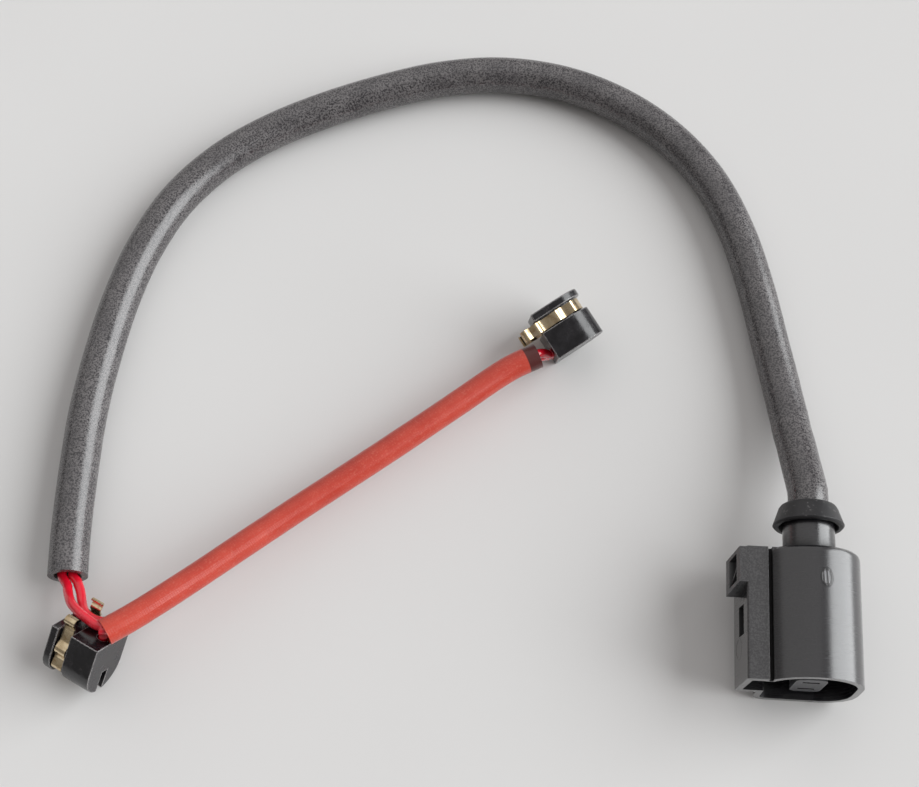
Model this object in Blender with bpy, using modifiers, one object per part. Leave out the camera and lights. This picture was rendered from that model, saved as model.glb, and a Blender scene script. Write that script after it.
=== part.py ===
"""Brake pad wear sensor: a plug, a sleeved lead, and two slotted sensor heads joined by a red tube.

Metres, +Z up, lying on a level surface at z = 0. The origin is under the middle of the rigid pieces.
"""

import math

import bmesh
import bpy
from mathutils import Euler, Matrix, Vector

MM = 0.001

# Clearances between separate pieces
FIT = 0.30 * MM
WIRE_FIT = 0.30 * MM

# How far a solid runs past the plane that trims it
CUT_MARGIN = 3.0 * MM

# Lead and tube
SLEEVE_DIAMETER = 7.5 * MM
SLEEVE_WALL = 1.15 * MM
SLEEVE_STEP = 6.0 * MM
TUBE_DIAMETER = 5.0 * MM
TUBE_WALL = 0.35 * MM
TUBE_STEP = 6.0 * MM
WIRE_DIAMETER = 1.8 * MM
WIRE_PAIR_SPACING = 2.04 * MM
WIRE_STEP = 1.6 * MM
CORD_ROUNDNESS = 4
WIRE_ROUNDNESS = 2

# Sensor heads: a thin and a thick flange on a core, square at the wires and round at the far end
HEAD_HALF_WIDTH = 5.1 * MM
HEAD_STRAIGHT = 5.8 * MM
HEAD_THICKNESS = 10.2 * MM
THIN_FLANGE = 1.5 * MM
SLOT_WIDTH = 2.8 * MM
CORE_HALF_WIDTH = 3.2 * MM
CORE_START = 0.8 * MM
HEAD_EDGE = 0.35 * MM
SLIT_WIDTH = 1.8 * MM
SLIT_START = 6.5 * MM
SLIT_OFFSET = 0.2 * MM
WIRE_HOLES_ACROSS = (2.6 * MM, -0.4 * MM)
WIRE_HOLE_DEPTH = 8.2 * MM
WIRE_INSERTION = 2.4 * MM
LOOP_DIAMETER = 1.2 * MM

# Spring clips: a strip bent round the core, with crests that stand out of the slot
SPRING_WIDTH = SLOT_WIDTH - 2 * FIT
SPRING_THICKNESS = 0.32 * MM
SPRING_STEP = 0.55 * MM
SPRING_ARM = (
    (10.0, 0.0), (9.8, 1.5), (9.1, 3.0), (8.1, 4.15), (7.1, 4.15), (6.2, 3.9), (5.3, 4.2), (4.6, 4.7), (3.9, 4.75),
    (3.2, 4.3), (2.5, 3.8), (1.6, 3.7),
)
SPRING_LONG_END = (
    (0.8, 3.85), (0.1, 4.35), (-0.5, 4.45), (-1.1, 4.05), (-1.7, 3.75), (-2.3, 4.05), (-2.9, 4.2), (-3.4, 3.75),
    (-3.4, 3.1),
)
SPRING_SHORT_END = ((0.7, 3.7), (-0.1, 3.75), (-0.8, 3.8), (-1.4, 4.3), (-2.0, 4.6), (-2.6, 4.2), (-2.7, 3.5))

# Connector housing, along its axis from the shoulder to the mating face
BARREL_LENGTH = 24.7 * MM
BARREL_HALF_WIDTH = 9.2 * MM
BARREL_RISE = 7.6 * MM
AXIS_HEIGHT = 10.8 * MM
BASE_LEFT_CORNER = 2.5 * MM
BASE_RIGHT_CORNER = 6.0 * MM
SHOULDER_EDGE = 1.3 * MM
HOUSING_WALL = 1.2 * MM
MATING_RAKE = -2.0
NECK_DIAMETER = 9.6 * MM
NECK_LENGTH = 7.6 * MM
NECK_BORE = 6.2 * MM
HOOD_TOP = 4.3 * MM
HOOD_TOP_WALL = 1.6 * MM
HOOD_BOTTOM = -5.4 * MM
HOOD_TOP_REACH = 12.2 * MM
HOOD_BOTTOM_REACH = 13.2 * MM
GROOVE_FROM = 8.3 * MM
GROOVE_WIDTH = 0.75 * MM
GROOVE_DEPTH = 1.3 * MM
SOCKET_FLOOR = 10.5 * MM
WINDOW_START = 10.5 * MM
WINDOW_LENGTH = 5.5 * MM
WINDOW_TOP = 1.8 * MM
WINDOW_HEIGHT = 3.2 * MM
TAB_TOP = HOOD_TOP - 0.05 * MM
TAB_TOP_REACH = 1.3 * MM
TAB_START = 0.3 * MM
TAB_LENGTH = 6.6 * MM
TAB_REACH = 2.0 * MM
TAB_DROP = 3.2 * MM
TAB_SWEEP = 2.25 * MM
TAB_WALL = 0.75 * MM
TAB_POCKET = 1.2 * MM
TAB_RIB = 0.5 * MM

# Inside of the connector
CARRIER_DROP = 3.3 * MM
CARRIER_WIDTH = 5.6 * MM
CARRIER_HEIGHT = 9.6 * MM
CARRIER_CORNER = 1.5 * MM
CARRIER_SEAT = 2.5 * MM
CARRIER_FRONT = 22.0 * MM
LOCK_THICKNESS = 1.4 * MM
CONTACT_SPACING = 5.0 * MM
CONTACT_POCKET = (3.0 * MM, 2.6 * MM)
CONTACT_SLOT = (3.2 * MM, 0.95 * MM)
CONTACT_SLOT_LENGTH = 3.0 * MM
CONTACT_BLADE = 0.4 * MM
WIRE_SEAL_DIAMETER = 3.0 * MM
WIRE_SEAL_LENGTH = 2.2 * MM
SEAL_WALL = 2.6 * MM
REAR_CHAMBER = 10.0 * MM
REAR_WALL = 1.3 * MM
SOCKET_SEAL_WIDTH = 0.8 * MM
SOCKET_SEAL_LENGTH = 2.2 * MM

# Boot over the neck
BOOT_LENGTH = 4.3 * MM
BOOT_NECK_OVERLAP = 2.4 * MM
BOOT_RIM_DIAMETER = 13.2 * MM
BOOT_TOP_DIAMETER = 11.0 * MM
BOOT_WALL = 1.0 * MM
SLEEVE_IN_BOOT = 1.6 * MM

# Layout: how far head 1 lies from the plug's axis, and how far the top of the lead's loop lies above head 1.
# A place is its share of each: 0 to 1 from the plug to head 1, and 0 to 1 from head 1 to the top.
LEAD_SPAN = 136.35 * MM
LEAD_RISE = 119.7 * MM
HEAD_1_HEIGHT = 8.85 * MM
HEAD_2_HEIGHT = 7.5 * MM
ORIGIN_PLACE = (0.48324, 0.21746)
CONNECTOR_PLACE = (0.0, 0.09148)
CONNECTOR_TURN = (0.0, 0.0, -3.4)
HEAD_1_PLACE = (1.0, 0.0)
HEAD_1_TURN = (-85.0, 40.4, -116.9)
HEAD_2_PLACE = (0.37294, 0.50543)
HEAD_2_TURN = (104.9, -8.9, 32.0)

# Route of the sleeve's middle from the connector to its open end, and of the red tube from head 2 to head 1:
# places of the layout, each with its height in millimetres
SLEEVE_ROUTE = (
    (-0.00623, 0.19465, 10.3), (-0.00477, 0.22723, 9.0), (-0.0033, 0.2548, 7.8), (-0.00183, 0.28321, 6.7),
    (0.0011, 0.30994, 5.9), (0.00257, 0.33668, 5.2), (0.0055, 0.36424, 4.7), (0.01137, 0.41771, 4.1),
    (0.0187, 0.47118, 3.9), (0.0341, 0.57895, 3.9), (0.05684, 0.68672, 3.9), (0.09498, 0.78864, 3.9),
    (0.15365, 0.87469, 3.9), (0.22772, 0.93985, 3.9), (0.3128, 0.98246, 3.9), (0.40667, 1, 3.9),
    (0.50055, 0.99165, 3.9), (0.59076, 0.96491, 3.9), (0.68023, 0.92815, 3.9), (0.76531, 0.88221, 3.9),
    (0.83938, 0.82456, 3.9), (0.90099, 0.74937, 3.9), (0.94573, 0.65664, 3.9), (0.97506, 0.55806, 3.9),
    (0.99487, 0.45447, 4.0), (1.00807, 0.35088, 4.2), (1.0132, 0.24728, 4.6), (1.01467, 0.14536, 5.2),
    (1.01247, 0.06934, 5.7),
)
TUBE_ROUTE = (
    (0.36487, 0.43776, 7.0), (0.40741, 0.41437, 6.7), (0.48221, 0.35338, 6.4), (0.55629, 0.29323, 6.2),
    (0.6289, 0.23475, 6.2), (0.70077, 0.17627, 6.6), (0.76971, 0.11696, 7.6), (0.83645, 0.05764, 9.0),
    (0.90099, 0.00084, 10.9), (0.93986, -0.02924, 11.9),
)

# The wires by head 1 in its own directions: along it from its square end, across it, through it
RETURN_BY_HEAD_1 = (
    (-3.0, -1.9, 8.2), (-2.6, -1.9, 6.8), (-2.5, -1.5, 5.2), (-2.5, -0.7, 2.9), (-2.4, 0.9, 0.2), (-2.2, 2.9, -2.2),
    (-2.4, 4.7, -4.2),
)
SUPPLY_BY_HEAD_1 = (
    (-3.1, 6.2, -3.6), (-2.6, 5.0, -1.6), (-2.2, 3.4, 0.5), (-1.6, 2.0, 2.4), (-1.4, 1.7, 3.6), (-1.5, 2.0, 5.3),
    (-1.5, 2.4, 7.0),
)
LINK_BY_HEAD_1 = ((-1.9, -0.6, 8.9),)


def laid(place, height):
    """A place of the layout, in the part's own frame."""
    along, up = ORIGIN_PLACE
    return Vector(((along - place[0]) * LEAD_SPAN, (place[1] - up) * LEAD_RISE, height))


def place(point):
    """A point of a route, in the part's own frame: its place and, in millimetres, its height."""
    return laid(point[:2], point[2] * MM)


def collection(name, hidden=False):
    made = bpy.data.collections.new(name)
    bpy.context.scene.collection.children.link(made)
    made.hide_render = hidden
    return made


def clear_scene():
    for obj in list(bpy.data.objects):
        bpy.data.objects.remove(obj, do_unlink=True)


clear_scene()
PARTS = collection("wear_sensor")
CUTTERS = collection("cutters", hidden=True)


def material(name, colour, roughness, metallic=0.0):
    made = bpy.data.materials.new(name)
    made.use_nodes = True
    shader = made.node_tree.nodes["Principled BSDF"]
    shader.inputs["Base Color"].default_value = (*colour, 1.0)
    shader.inputs["Roughness"].default_value = roughness
    shader.inputs["Metallic"].default_value = metallic
    return made


def put(name, mesh, into=None):
    obj = bpy.data.objects.new(name, mesh)
    (into or PARTS).objects.link(obj)
    return obj


def finish(obj, colour, roughness, metallic=0.0):
    """Smooth shading between shallow edges, and the piece's own material."""
    obj.data.shade_smooth()
    obj.data.set_sharp_from_angle(angle=math.radians(35))
    obj.data.materials.clear()
    obj.data.materials.append(material(obj.name, colour, roughness, metallic))
    return obj


def meshed(obj, name):
    """A plain mesh of a curve as it is evaluated, with its caps welded on, in place of the curve."""
    graph = bpy.context.evaluated_depsgraph_get()
    mesh = bpy.data.meshes.new_from_object(obj.evaluated_get(graph))
    work = bmesh.new()
    work.from_mesh(mesh)
    bmesh.ops.remove_doubles(work, verts=work.verts, dist=1e-6)
    work.to_mesh(mesh)
    work.free()
    home, placed = obj.users_collection[0], obj.matrix_world.copy()
    bpy.data.objects.remove(obj, do_unlink=True)
    made = put(name, mesh, home)
    made.matrix_world = placed
    return made


def smooth_points(route, step):
    """Points about one step apart on the smooth curve through a route's own points."""
    ends = [2 * route[0] - route[1]] + list(route) + [2 * route[-1] - route[-2]]
    fine = []
    for before, start, end, after in zip(ends, ends[1:], ends[2:], ends[3:]):
        for i in range(24):
            t = i / 24
            fine.append(0.5 * (2 * start + t * (end - before) + t * t * (2 * before - 5 * start + 4 * end - after)
                               + t ** 3 * (3 * start - before - 3 * end + after)))
    fine.append(route[-1])
    length = sum((b - a).length for a, b in zip(fine, fine[1:]))
    count = max(2, round(length / step))
    points, run, wanted = [fine[0]], 0.0, length / count
    for a, b in zip(fine, fine[1:]):
        gap = (b - a).length
        while run + gap >= wanted - 1e-9 and len(points) < count:
            points.append(a.lerp(b, (wanted - run) / gap))
            wanted += length / count
        run += gap
    return points + [fine[-1]]


def curve_tube(name, points, diameter, roundness, capped=True):
    """A round bar along a line of points, as a mesh."""
    data = bpy.data.curves.new(name, "CURVE")
    data.dimensions = "3D"
    data.bevel_depth = diameter / 2
    data.bevel_resolution = roundness
    data.use_fill_caps = capped
    line = data.splines.new("POLY")
    line.points.add(len(points) - 1)
    for knot, point in zip(line.points, points):
        knot.co = (*point, 1.0)
    return meshed(put(name, data), name)


def hollow_tube(name, points, diameter, wall, roundness):
    """An open-ended tube: the outer skin along the line, given its wall inwards."""
    tube = curve_tube(name, points, diameter, roundness, capped=False)
    shell = tube.modifiers.new("wall", "SOLIDIFY")
    shell.thickness = wall
    shell.offset = -1.0
    shell.use_even_offset = True
    return tube


def pair_lines(points, turn):
    """Two lines beside a centre line; turn gives the pair's angle at each share of the way, in degrees."""
    lines = ([], [])
    for i, point in enumerate(points):
        along = (points[min(i + 1, len(points) - 1)] - points[max(i - 1, 0)]).normalized()
        side = along.cross(Vector((0, 0, 1))).normalized()
        angle = math.radians(turn(i / (len(points) - 1)))
        apart = (side * math.cos(angle) + side.cross(along) * math.sin(angle)) * WIRE_PAIR_SPACING / 2
        lines[0].append(point + apart)
        lines[1].append(point - apart)
    return lines


def rounded_outline(corners, steps=5):
    """Points of a polygon whose corners (x, y, radius) are rounded by arcs."""
    points = []
    for i, (x, y, radius) in enumerate(corners):
        here = Vector((x, y))
        before = (Vector(corners[i - 1][:2]) - here).normalized()
        after = (Vector(corners[(i + 1) % len(corners)][:2]) - here).normalized()
        if radius <= 0:
            points.append(here)
            continue
        half = before.angle(after) / 2
        centre = here + (before + after).normalized() * (radius / math.sin(half))
        start = here + before * (radius / math.tan(half)) - centre
        end = here + after * (radius / math.tan(half)) - centre
        sweep = start.angle_signed(end)
        for k in range(steps + 1):
            turned = start.copy()
            turned.rotate(Matrix.Rotation(-sweep * k / steps, 2))
            points.append(centre + turned)
    return points


def plate(name, outline, low, high, into=None):
    """A flat outline in X and Y made solid between two heights."""
    data = bpy.data.curves.new(name, "CURVE")
    data.dimensions = "2D"
    data.fill_mode = "BOTH"
    data.extrude = (high - low) / 2
    line = data.splines.new("POLY")
    line.points.add(len(outline) - 1)
    for knot, point in zip(line.points, outline):
        knot.co = (point[0], point[1], 0.0, 1.0)
    line.use_cyclic_u = True
    obj = meshed(put(name, data, into), name)
    obj.data.transform(Matrix.Translation((0, 0, (low + high) / 2)))
    return obj


def block(name, low, high, into=None):
    """A box between two corners."""
    mesh = bpy.data.meshes.new(name)
    work = bmesh.new()
    bmesh.ops.create_cube(work, size=1.0)
    size = Vector(high) - Vector(low)
    bmesh.ops.scale(work, vec=size, verts=work.verts)
    bmesh.ops.translate(work, vec=Vector(low) + size / 2, verts=work.verts)
    work.to_mesh(mesh)
    work.free()
    return put(name, mesh, into)


def rod(name, diameter, start, end, sides=32, into=None):
    """A cylinder from one point to another."""
    mesh = bpy.data.meshes.new(name)
    work = bmesh.new()
    axis = Vector(end) - Vector(start)
    bmesh.ops.create_cone(work, cap_ends=True, segments=sides, radius1=diameter / 2, radius2=diameter / 2,
                          depth=axis.length)
    work.transform(Matrix.Translation(Vector(start) + axis / 2) @ axis.to_track_quat("Z", "Y").to_matrix().to_4x4())
    work.to_mesh(mesh)
    work.free()
    return put(name, mesh, into)


def turned_ring(name, profile, sides=40):
    """A closed profile of (radius, y) points turned about the Y axis, the outer side first, from high y to low."""
    mesh = bpy.data.meshes.new(name)
    work = bmesh.new()
    verts = [work.verts.new((radius, 0, y)) for radius, y in profile]
    for a, b in zip(verts, verts[1:] + verts[:1]):
        work.edges.new((a, b))
    work.to_mesh(mesh)
    work.free()
    obj = put(name, mesh)
    screw = obj.modifiers.new("turn", "SCREW")
    screw.axis = "Z"
    screw.steps = sides
    screw.render_steps = sides
    screw.use_merge_vertices = True
    screw.merge_threshold = 1e-6
    obj = meshed(obj, name)
    obj.data.transform(Matrix.Rotation(math.radians(-90), 4, "X"))
    return obj


def combine(obj, other, operation):
    """Cuts or joins another mesh object into this one, for good, and puts the other among the cutters."""
    bpy.context.view_layer.update()
    step = obj.modifiers.new(operation.lower(), "BOOLEAN")
    step.operation = operation
    step.solver = "EXACT"
    step.object = other
    graph = bpy.context.evaluated_depsgraph_get()
    mesh = bpy.data.meshes.new_from_object(obj.evaluated_get(graph))
    obj.modifiers.clear()
    obj.data = mesh
    for group in list(other.users_collection):
        group.objects.unlink(other)
    CUTTERS.objects.link(other)
    other.hide_render = True
    other.display_type = "WIRE"
    return obj


def cut(obj, *others):
    for other in others:
        combine(obj, other, "DIFFERENCE")
    return obj


def join(obj, *others):
    for other in others:
        combine(obj, other, "UNION")
    return obj


def soften(obj, width, angle=50, segments=2):
    """Rounds a piece's sharp edges."""
    edge = obj.modifiers.new("edges", "BEVEL")
    edge.width = width
    edge.segments = segments
    edge.limit_method = "ANGLE"
    edge.angle_limit = math.radians(angle)
    edge.use_clamp_overlap = True
    return meshed(obj, obj.name)


def frame(name, location, turn):
    """An empty that carries one assembly, and its matrix."""
    carrier = bpy.data.objects.new(name, None)
    PARTS.objects.link(carrier)
    carrier.location = location
    carrier.rotation_euler = Euler([math.radians(a) for a in turn])
    bpy.context.view_layer.update()
    return carrier


def along_axis(obj):
    """Turns a solid made along Z so that its Z runs from the shoulder towards the mating face."""
    obj.data.transform(Matrix.Rotation(math.radians(90), 4, "X"))
    return obj


def half_round_outline(half_width, straight, start=0.0, steps=14):
    """Square at the start, with a round end past its straight sides."""
    points = [Vector((start, -half_width))]
    for k in range(steps + 1):
        angle = math.pi * k / steps
        points.append(Vector((straight + half_width * math.sin(angle), -half_width * math.cos(angle))))
    return points + [Vector((start, half_width))]


def wire_holes(side):
    """Centres (across, through) of a head's two wire holes; side says which way up the head lies."""
    return [(across * side, WIRE_HOLE_DEPTH) for across in WIRE_HOLES_ACROSS]


def loop_points(side, first, steps=10):
    """The line in through one wire hole, round a half circle and out through the other."""
    (a_across, a_through), (b_across, b_through) = wire_holes(side)
    a = Vector((WIRE_INSERTION + 3 * FIT, a_across, a_through))
    b = Vector((WIRE_INSERTION + 3 * FIT, b_across, b_through))
    middle, half = (a + b) / 2, (a - b) / 2
    bend = [middle + half * math.cos(math.pi * k / steps) + Vector((half.length * math.sin(math.pi * k / steps), 0, 0))
            for k in range(steps + 1)]
    out = Vector((first, 0, 0))
    return [a + out] + bend + [b + out]


def sensor_head(name, carrier, side, spring_ends):
    """One moulded head, its spring clip and the bare loop inside it, in the carrier's frame."""
    thick_from = THIN_FLANGE + SLOT_WIDTH
    outline = half_round_outline(HEAD_HALF_WIDTH, HEAD_STRAIGHT)
    core = half_round_outline(CORE_HALF_WIDTH, HEAD_STRAIGHT, CORE_START)
    thin = soften(plate(f"{name}_body", outline, 0.0, THIN_FLANGE), HEAD_EDGE, segments=1)
    thick = soften(plate(f"{name}_thick", outline, thick_from, HEAD_THICKNESS), HEAD_EDGE)
    middle = plate(f"{name}_core", core, THIN_FLANGE / 2, thick_from + THIN_FLANGE / 2)
    body = join(thin, thick, middle)
    slit = block(f"{name}_slit", (SLIT_START, SLIT_OFFSET * side - SLIT_WIDTH / 2, thick_from - FIT),
                 (HEAD_STRAIGHT + 2 * HEAD_HALF_WIDTH, SLIT_OFFSET * side + SLIT_WIDTH / 2, HEAD_THICKNESS + FIT))
    hole_path = loop_points(side, -2 * WIRE_INSERTION)
    hole = curve_tube(f"{name}_hole", hole_path, WIRE_DIAMETER + 2 * WIRE_FIT, CORD_ROUNDNESS)
    cut(body, slit, hole)
    loop = curve_tube(f"{name}_loop", loop_points(side, -2 * FIT), LOOP_DIAMETER, WIRE_ROUNDNESS)
    spring = spring_clip(f"{name}_spring", spring_ends)
    for piece in (body, loop, spring):
        piece.parent = carrier
    finish(body, (0.02, 0.02, 0.022), 0.35)
    finish(loop, (0.75, 0.36, 0.2), 0.3, 1.0)
    finish(spring, (0.78, 0.68, 0.5), 0.3, 1.0)


def spring_clip(name, ends):
    """A bent strip: two wavy arms and the bend between them, given its thickness; the first end is on the -Y arm."""
    near, far = [smooth_points([Vector((x, y, 0)) * MM for x, y in SPRING_ARM + end], SPRING_STEP) for end in ends]
    line = [Vector((p.x, -p.y, 0)) for p in reversed(near[1:])] + far
    low = THIN_FLANGE + (SLOT_WIDTH - SPRING_WIDTH) / 2
    mesh = bpy.data.meshes.new(name)
    work = bmesh.new()
    verts = [work.verts.new((p.x, p.y, low)) for p in line]
    edges = [work.edges.new(pair) for pair in zip(verts, verts[1:])]
    swept = bmesh.ops.extrude_edge_only(work, edges=edges)
    rise = [v for v in swept["geom"] if isinstance(v, bmesh.types.BMVert)]
    bmesh.ops.translate(work, vec=(0, 0, SPRING_WIDTH), verts=rise)
    work.to_mesh(mesh)
    work.free()
    strip = put(name, mesh)
    shell = strip.modifiers.new("thickness", "SOLIDIFY")
    shell.thickness = SPRING_THICKNESS
    shell.offset = 0.0
    shell.use_even_offset = True
    return meshed(strip, name)


def barrel_outline(inset, steps=20):
    """The barrel's section: an arched top on straight sides, flat at the base, inset by a wall."""
    half, rise, base = BARREL_HALF_WIDTH - inset, BARREL_RISE - inset, -(AXIS_HEIGHT - inset)
    left, right = BASE_LEFT_CORNER - inset, BASE_RIGHT_CORNER - inset
    arch = [(half * math.cos(math.pi * k / steps), rise * math.sin(math.pi * k / steps), 0.0)
            for k in range(steps + 1)]
    return rounded_outline(arch + [(-half, base, left), (half, base, right)], steps=4)


def hood_outline(inset):
    """The latch hood's section at the barrel's side, reaching into the barrel."""
    lower = HOOD_BOTTOM + inset
    upper = HOOD_TOP - (HOOD_TOP_WALL if inset else 0.0)
    slope = (HOOD_BOTTOM_REACH - HOOD_TOP_REACH) / (HOOD_TOP - HOOD_BOTTOM)
    corner = 0.6 * MM - inset * 0.3
    inner = -BARREL_HALF_WIDTH * 0.6
    return rounded_outline([(-(HOOD_TOP_REACH - inset + slope * inset), upper, corner), (inner, upper, 0.0),
                            (inner, lower, 0.0), (-(HOOD_BOTTOM_REACH - inset - slope * inset), lower, corner)], 3)


def mating_wedge():
    """What the raked mating face leaves off: a tilted block past it."""
    reach = 40 * MM
    wedge = block("mating_wedge", (-reach, -reach, -reach), (reach, 0.0, reach))
    wedge.data.transform(Matrix.Rotation(math.radians(MATING_RAKE), 4, "X"))
    wedge.data.transform(Matrix.Translation((0, -BARREL_LENGTH, 0)))
    return wedge


def tab_solid(name, out, along, deep):
    """A block of the thumb tab between two values each way: out over its sloping face, along the connector and in."""
    mesh = bpy.data.meshes.new(name)
    work = bmesh.new()
    bmesh.ops.create_cube(work, size=1.0)
    for vert in work.verts:
        u, v, w = (ends[int(c > 0)] for ends, c in zip((out, along, deep), vert.co))
        vert.co = (-(HOOD_TOP_REACH + TAB_TOP_REACH) - u * TAB_REACH + w, -v - u * TAB_SWEEP, TAB_TOP - u * TAB_DROP)
    bmesh.ops.recalc_face_normals(work, faces=work.faces)
    work.to_mesh(mesh)
    work.free()
    return put(name, mesh)


def thumb_tab():
    """The tab at the hood's rear, with its pocket and the diagonal rib in it."""
    end = TAB_START + TAB_LENGTH
    edge = TAB_WALL / TAB_DROP
    tab = tab_solid("tab", (0.0, 1.0), (TAB_START, end), (0.0, TAB_REACH + TAB_TOP_REACH))
    inside = (TAB_START + TAB_WALL, end - TAB_WALL)
    cut(tab, tab_solid("tab_pocket", (edge, 1 - edge), inside, (-TAB_WALL, TAB_POCKET)))
    rib = tab_solid("tab_rib", (edge / 2, 1 - edge / 2), (inside[0], inside[0] + TAB_RIB), (TAB_RIB, 2 * TAB_POCKET))
    lean = (inside[1] - inside[0] - TAB_RIB) / TAB_DROP
    rib.data.transform(Matrix(((1, 0, 0, 0), (0, 1, lean, -lean * TAB_TOP), (0, 0, 1, 0), (0, 0, 0, 1))))
    return join(tab, rib)


def carrier_outline(grow):
    width, height = CARRIER_WIDTH / 2 + grow, CARRIER_HEIGHT / 2 + grow
    corner = CARRIER_CORNER + grow
    corners = [(width, height), (-width, height), (-width, -height), (width, -height)]
    return [Vector((p.x, p.y - CARRIER_DROP)) for p in rounded_outline([(*c, corner) for c in corners], steps=4)]


def contact_heights():
    """The two contacts, one over the other: the return wire's above, the supply wire's below."""
    return -CARRIER_DROP + CONTACT_SPACING / 2, -CARRIER_DROP - CONTACT_SPACING / 2


def housing(carrier):
    """The connector housing: barrel, hood, neck and tab in one, with the socket and the wire ways cut in."""
    overlong = BARREL_LENGTH + CUT_MARGIN
    body = along_axis(plate("connector_housing", barrel_outline(0.0), 0.0, overlong))
    rounded_rear(body, SHOULDER_EDGE)
    hood = along_axis(plate("hood", hood_outline(0.0), 0.15 * MM, overlong))
    neck = rod("neck", NECK_DIAMETER, (0, -REAR_WALL / 2, 0), (0, NECK_LENGTH, 0))
    join(body, hood, neck, thumb_tab())
    groove = block("groove", (-GROOVE_FROM, -overlong - FIT, HOOD_TOP - GROOVE_DEPTH),
                   (-GROOVE_FROM + GROOVE_WIDTH, NECK_LENGTH, BARREL_RISE))
    cut(body, groove, mating_wedge())
    socket = along_axis(plate("socket", barrel_outline(HOUSING_WALL), SOCKET_FLOOR, overlong + FIT))
    hood_socket = along_axis(plate("hood_socket", hood_outline(HOUSING_WALL), SOCKET_FLOOR - 2 * MM, overlong + FIT))
    cut(body, socket, hood_socket)
    window = block("window", (-HOOD_BOTTOM_REACH - HOUSING_WALL, -WINDOW_START - WINDOW_LENGTH, WINDOW_TOP - WINDOW_HEIGHT),
                   (-HOOD_TOP_REACH + 2 * HOUSING_WALL, -WINDOW_START, WINDOW_TOP))
    seat = along_axis(plate("seat", carrier_outline(FIT), SOCKET_FLOOR - CARRIER_SEAT, SOCKET_FLOOR + FIT))
    seal_wall_from = SOCKET_FLOOR - CARRIER_SEAT - SEAL_WALL
    chamber = rod("chamber", REAR_CHAMBER, (0, -seal_wall_from, -CARRIER_DROP), (0, -REAR_WALL, -CARRIER_DROP))
    bore = rod("neck_bore", NECK_BORE, (0, -REAR_WALL - FIT, 0), (0, NECK_LENGTH + FIT, 0))
    ways = [rod("wire_way", WIRE_SEAL_DIAMETER + 2 * FIT, (0, -seal_wall_from + FIT, z),
                (0, -SOCKET_FLOOR + CARRIER_SEAT - FIT, z), sides=24) for z in contact_heights()]
    cut(body, window, seat, chamber, bore, *ways)
    body.parent = carrier
    return finish(body, (0.05, 0.05, 0.053), 0.38)


def rounded_rear(body, width):
    """Rounds the edge between the barrel's side and its rear face, which lies at y = 0."""
    work = bmesh.new()
    work.from_mesh(body.data)
    rear = [e for e in work.edges if all(abs(v.co.y) < 1e-6 for v in e.verts) and len(e.link_faces) == 2
            and abs(e.calc_face_angle(0.0)) > 0.5]
    bmesh.ops.bevel(work, geom=rear, offset=width, segments=3, profile=0.5, affect="EDGES")
    work.to_mesh(body.data)
    work.free()


def terminal_carrier(carrier):
    """The tongue that holds both contacts, seated in the socket's floor, and the slotted cap on its front."""
    rear = SOCKET_FLOOR - CARRIER_SEAT + FIT
    tongue = along_axis(plate("terminal_carrier", carrier_outline(0.0), rear, CARRIER_FRONT))
    cap = along_axis(plate("terminal_lock", carrier_outline(0.0), CARRIER_FRONT + FIT,
                           CARRIER_FRONT + FIT + LOCK_THICKNESS))
    slot_from = CARRIER_FRONT - CONTACT_SLOT_LENGTH
    for z in contact_heights():
        wide, high = (size / 2 for size in CONTACT_POCKET)
        pocket = block("contact_pocket", (-wide, -slot_from, z - high), (wide, -rear + FIT, z + high))
        wide, high = (size / 2 for size in CONTACT_SLOT)
        slot = block("contact_slot", (-wide, -CARRIER_FRONT - 2 * FIT - LOCK_THICKNESS, z - high),
                     (wide, -slot_from + FIT, z + high))
        cut(tongue, pocket, slot)
        slot_again = block("lock_slot", (-wide, -CARRIER_FRONT - 3 * FIT - LOCK_THICKNESS, z - high),
                           (wide, -CARRIER_FRONT + FIT, z + high))
        cut(cap, slot_again)
    for piece in (tongue, cap):
        piece.parent = carrier
        finish(piece, (0.16, 0.16, 0.165), 0.45)


def contacts(carrier):
    """The two contacts: a box behind, where the wire is crimped, and a blade in the slot."""
    rear = SOCKET_FLOOR - CARRIER_SEAT + FIT + 1.6 * MM
    slot_from = CARRIER_FRONT - CONTACT_SLOT_LENGTH
    wide, high = (size / 2 - FIT for size in CONTACT_POCKET)
    for number, z in enumerate(contact_heights(), start=1):
        box = block(f"terminal_{number}", (-wide, -slot_from + FIT, z - high), (wide, -rear, z + high))
        blade = block("blade", (-wide, -CARRIER_FRONT - LOCK_THICKNESS / 2, z - CONTACT_BLADE / 2),
                      (wide, -slot_from + 3 * FIT, z + CONTACT_BLADE / 2))
        join(box, blade)
        box.parent = carrier
        finish(box, (0.8, 0.78, 0.72), 0.25, 1.0)


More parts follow.
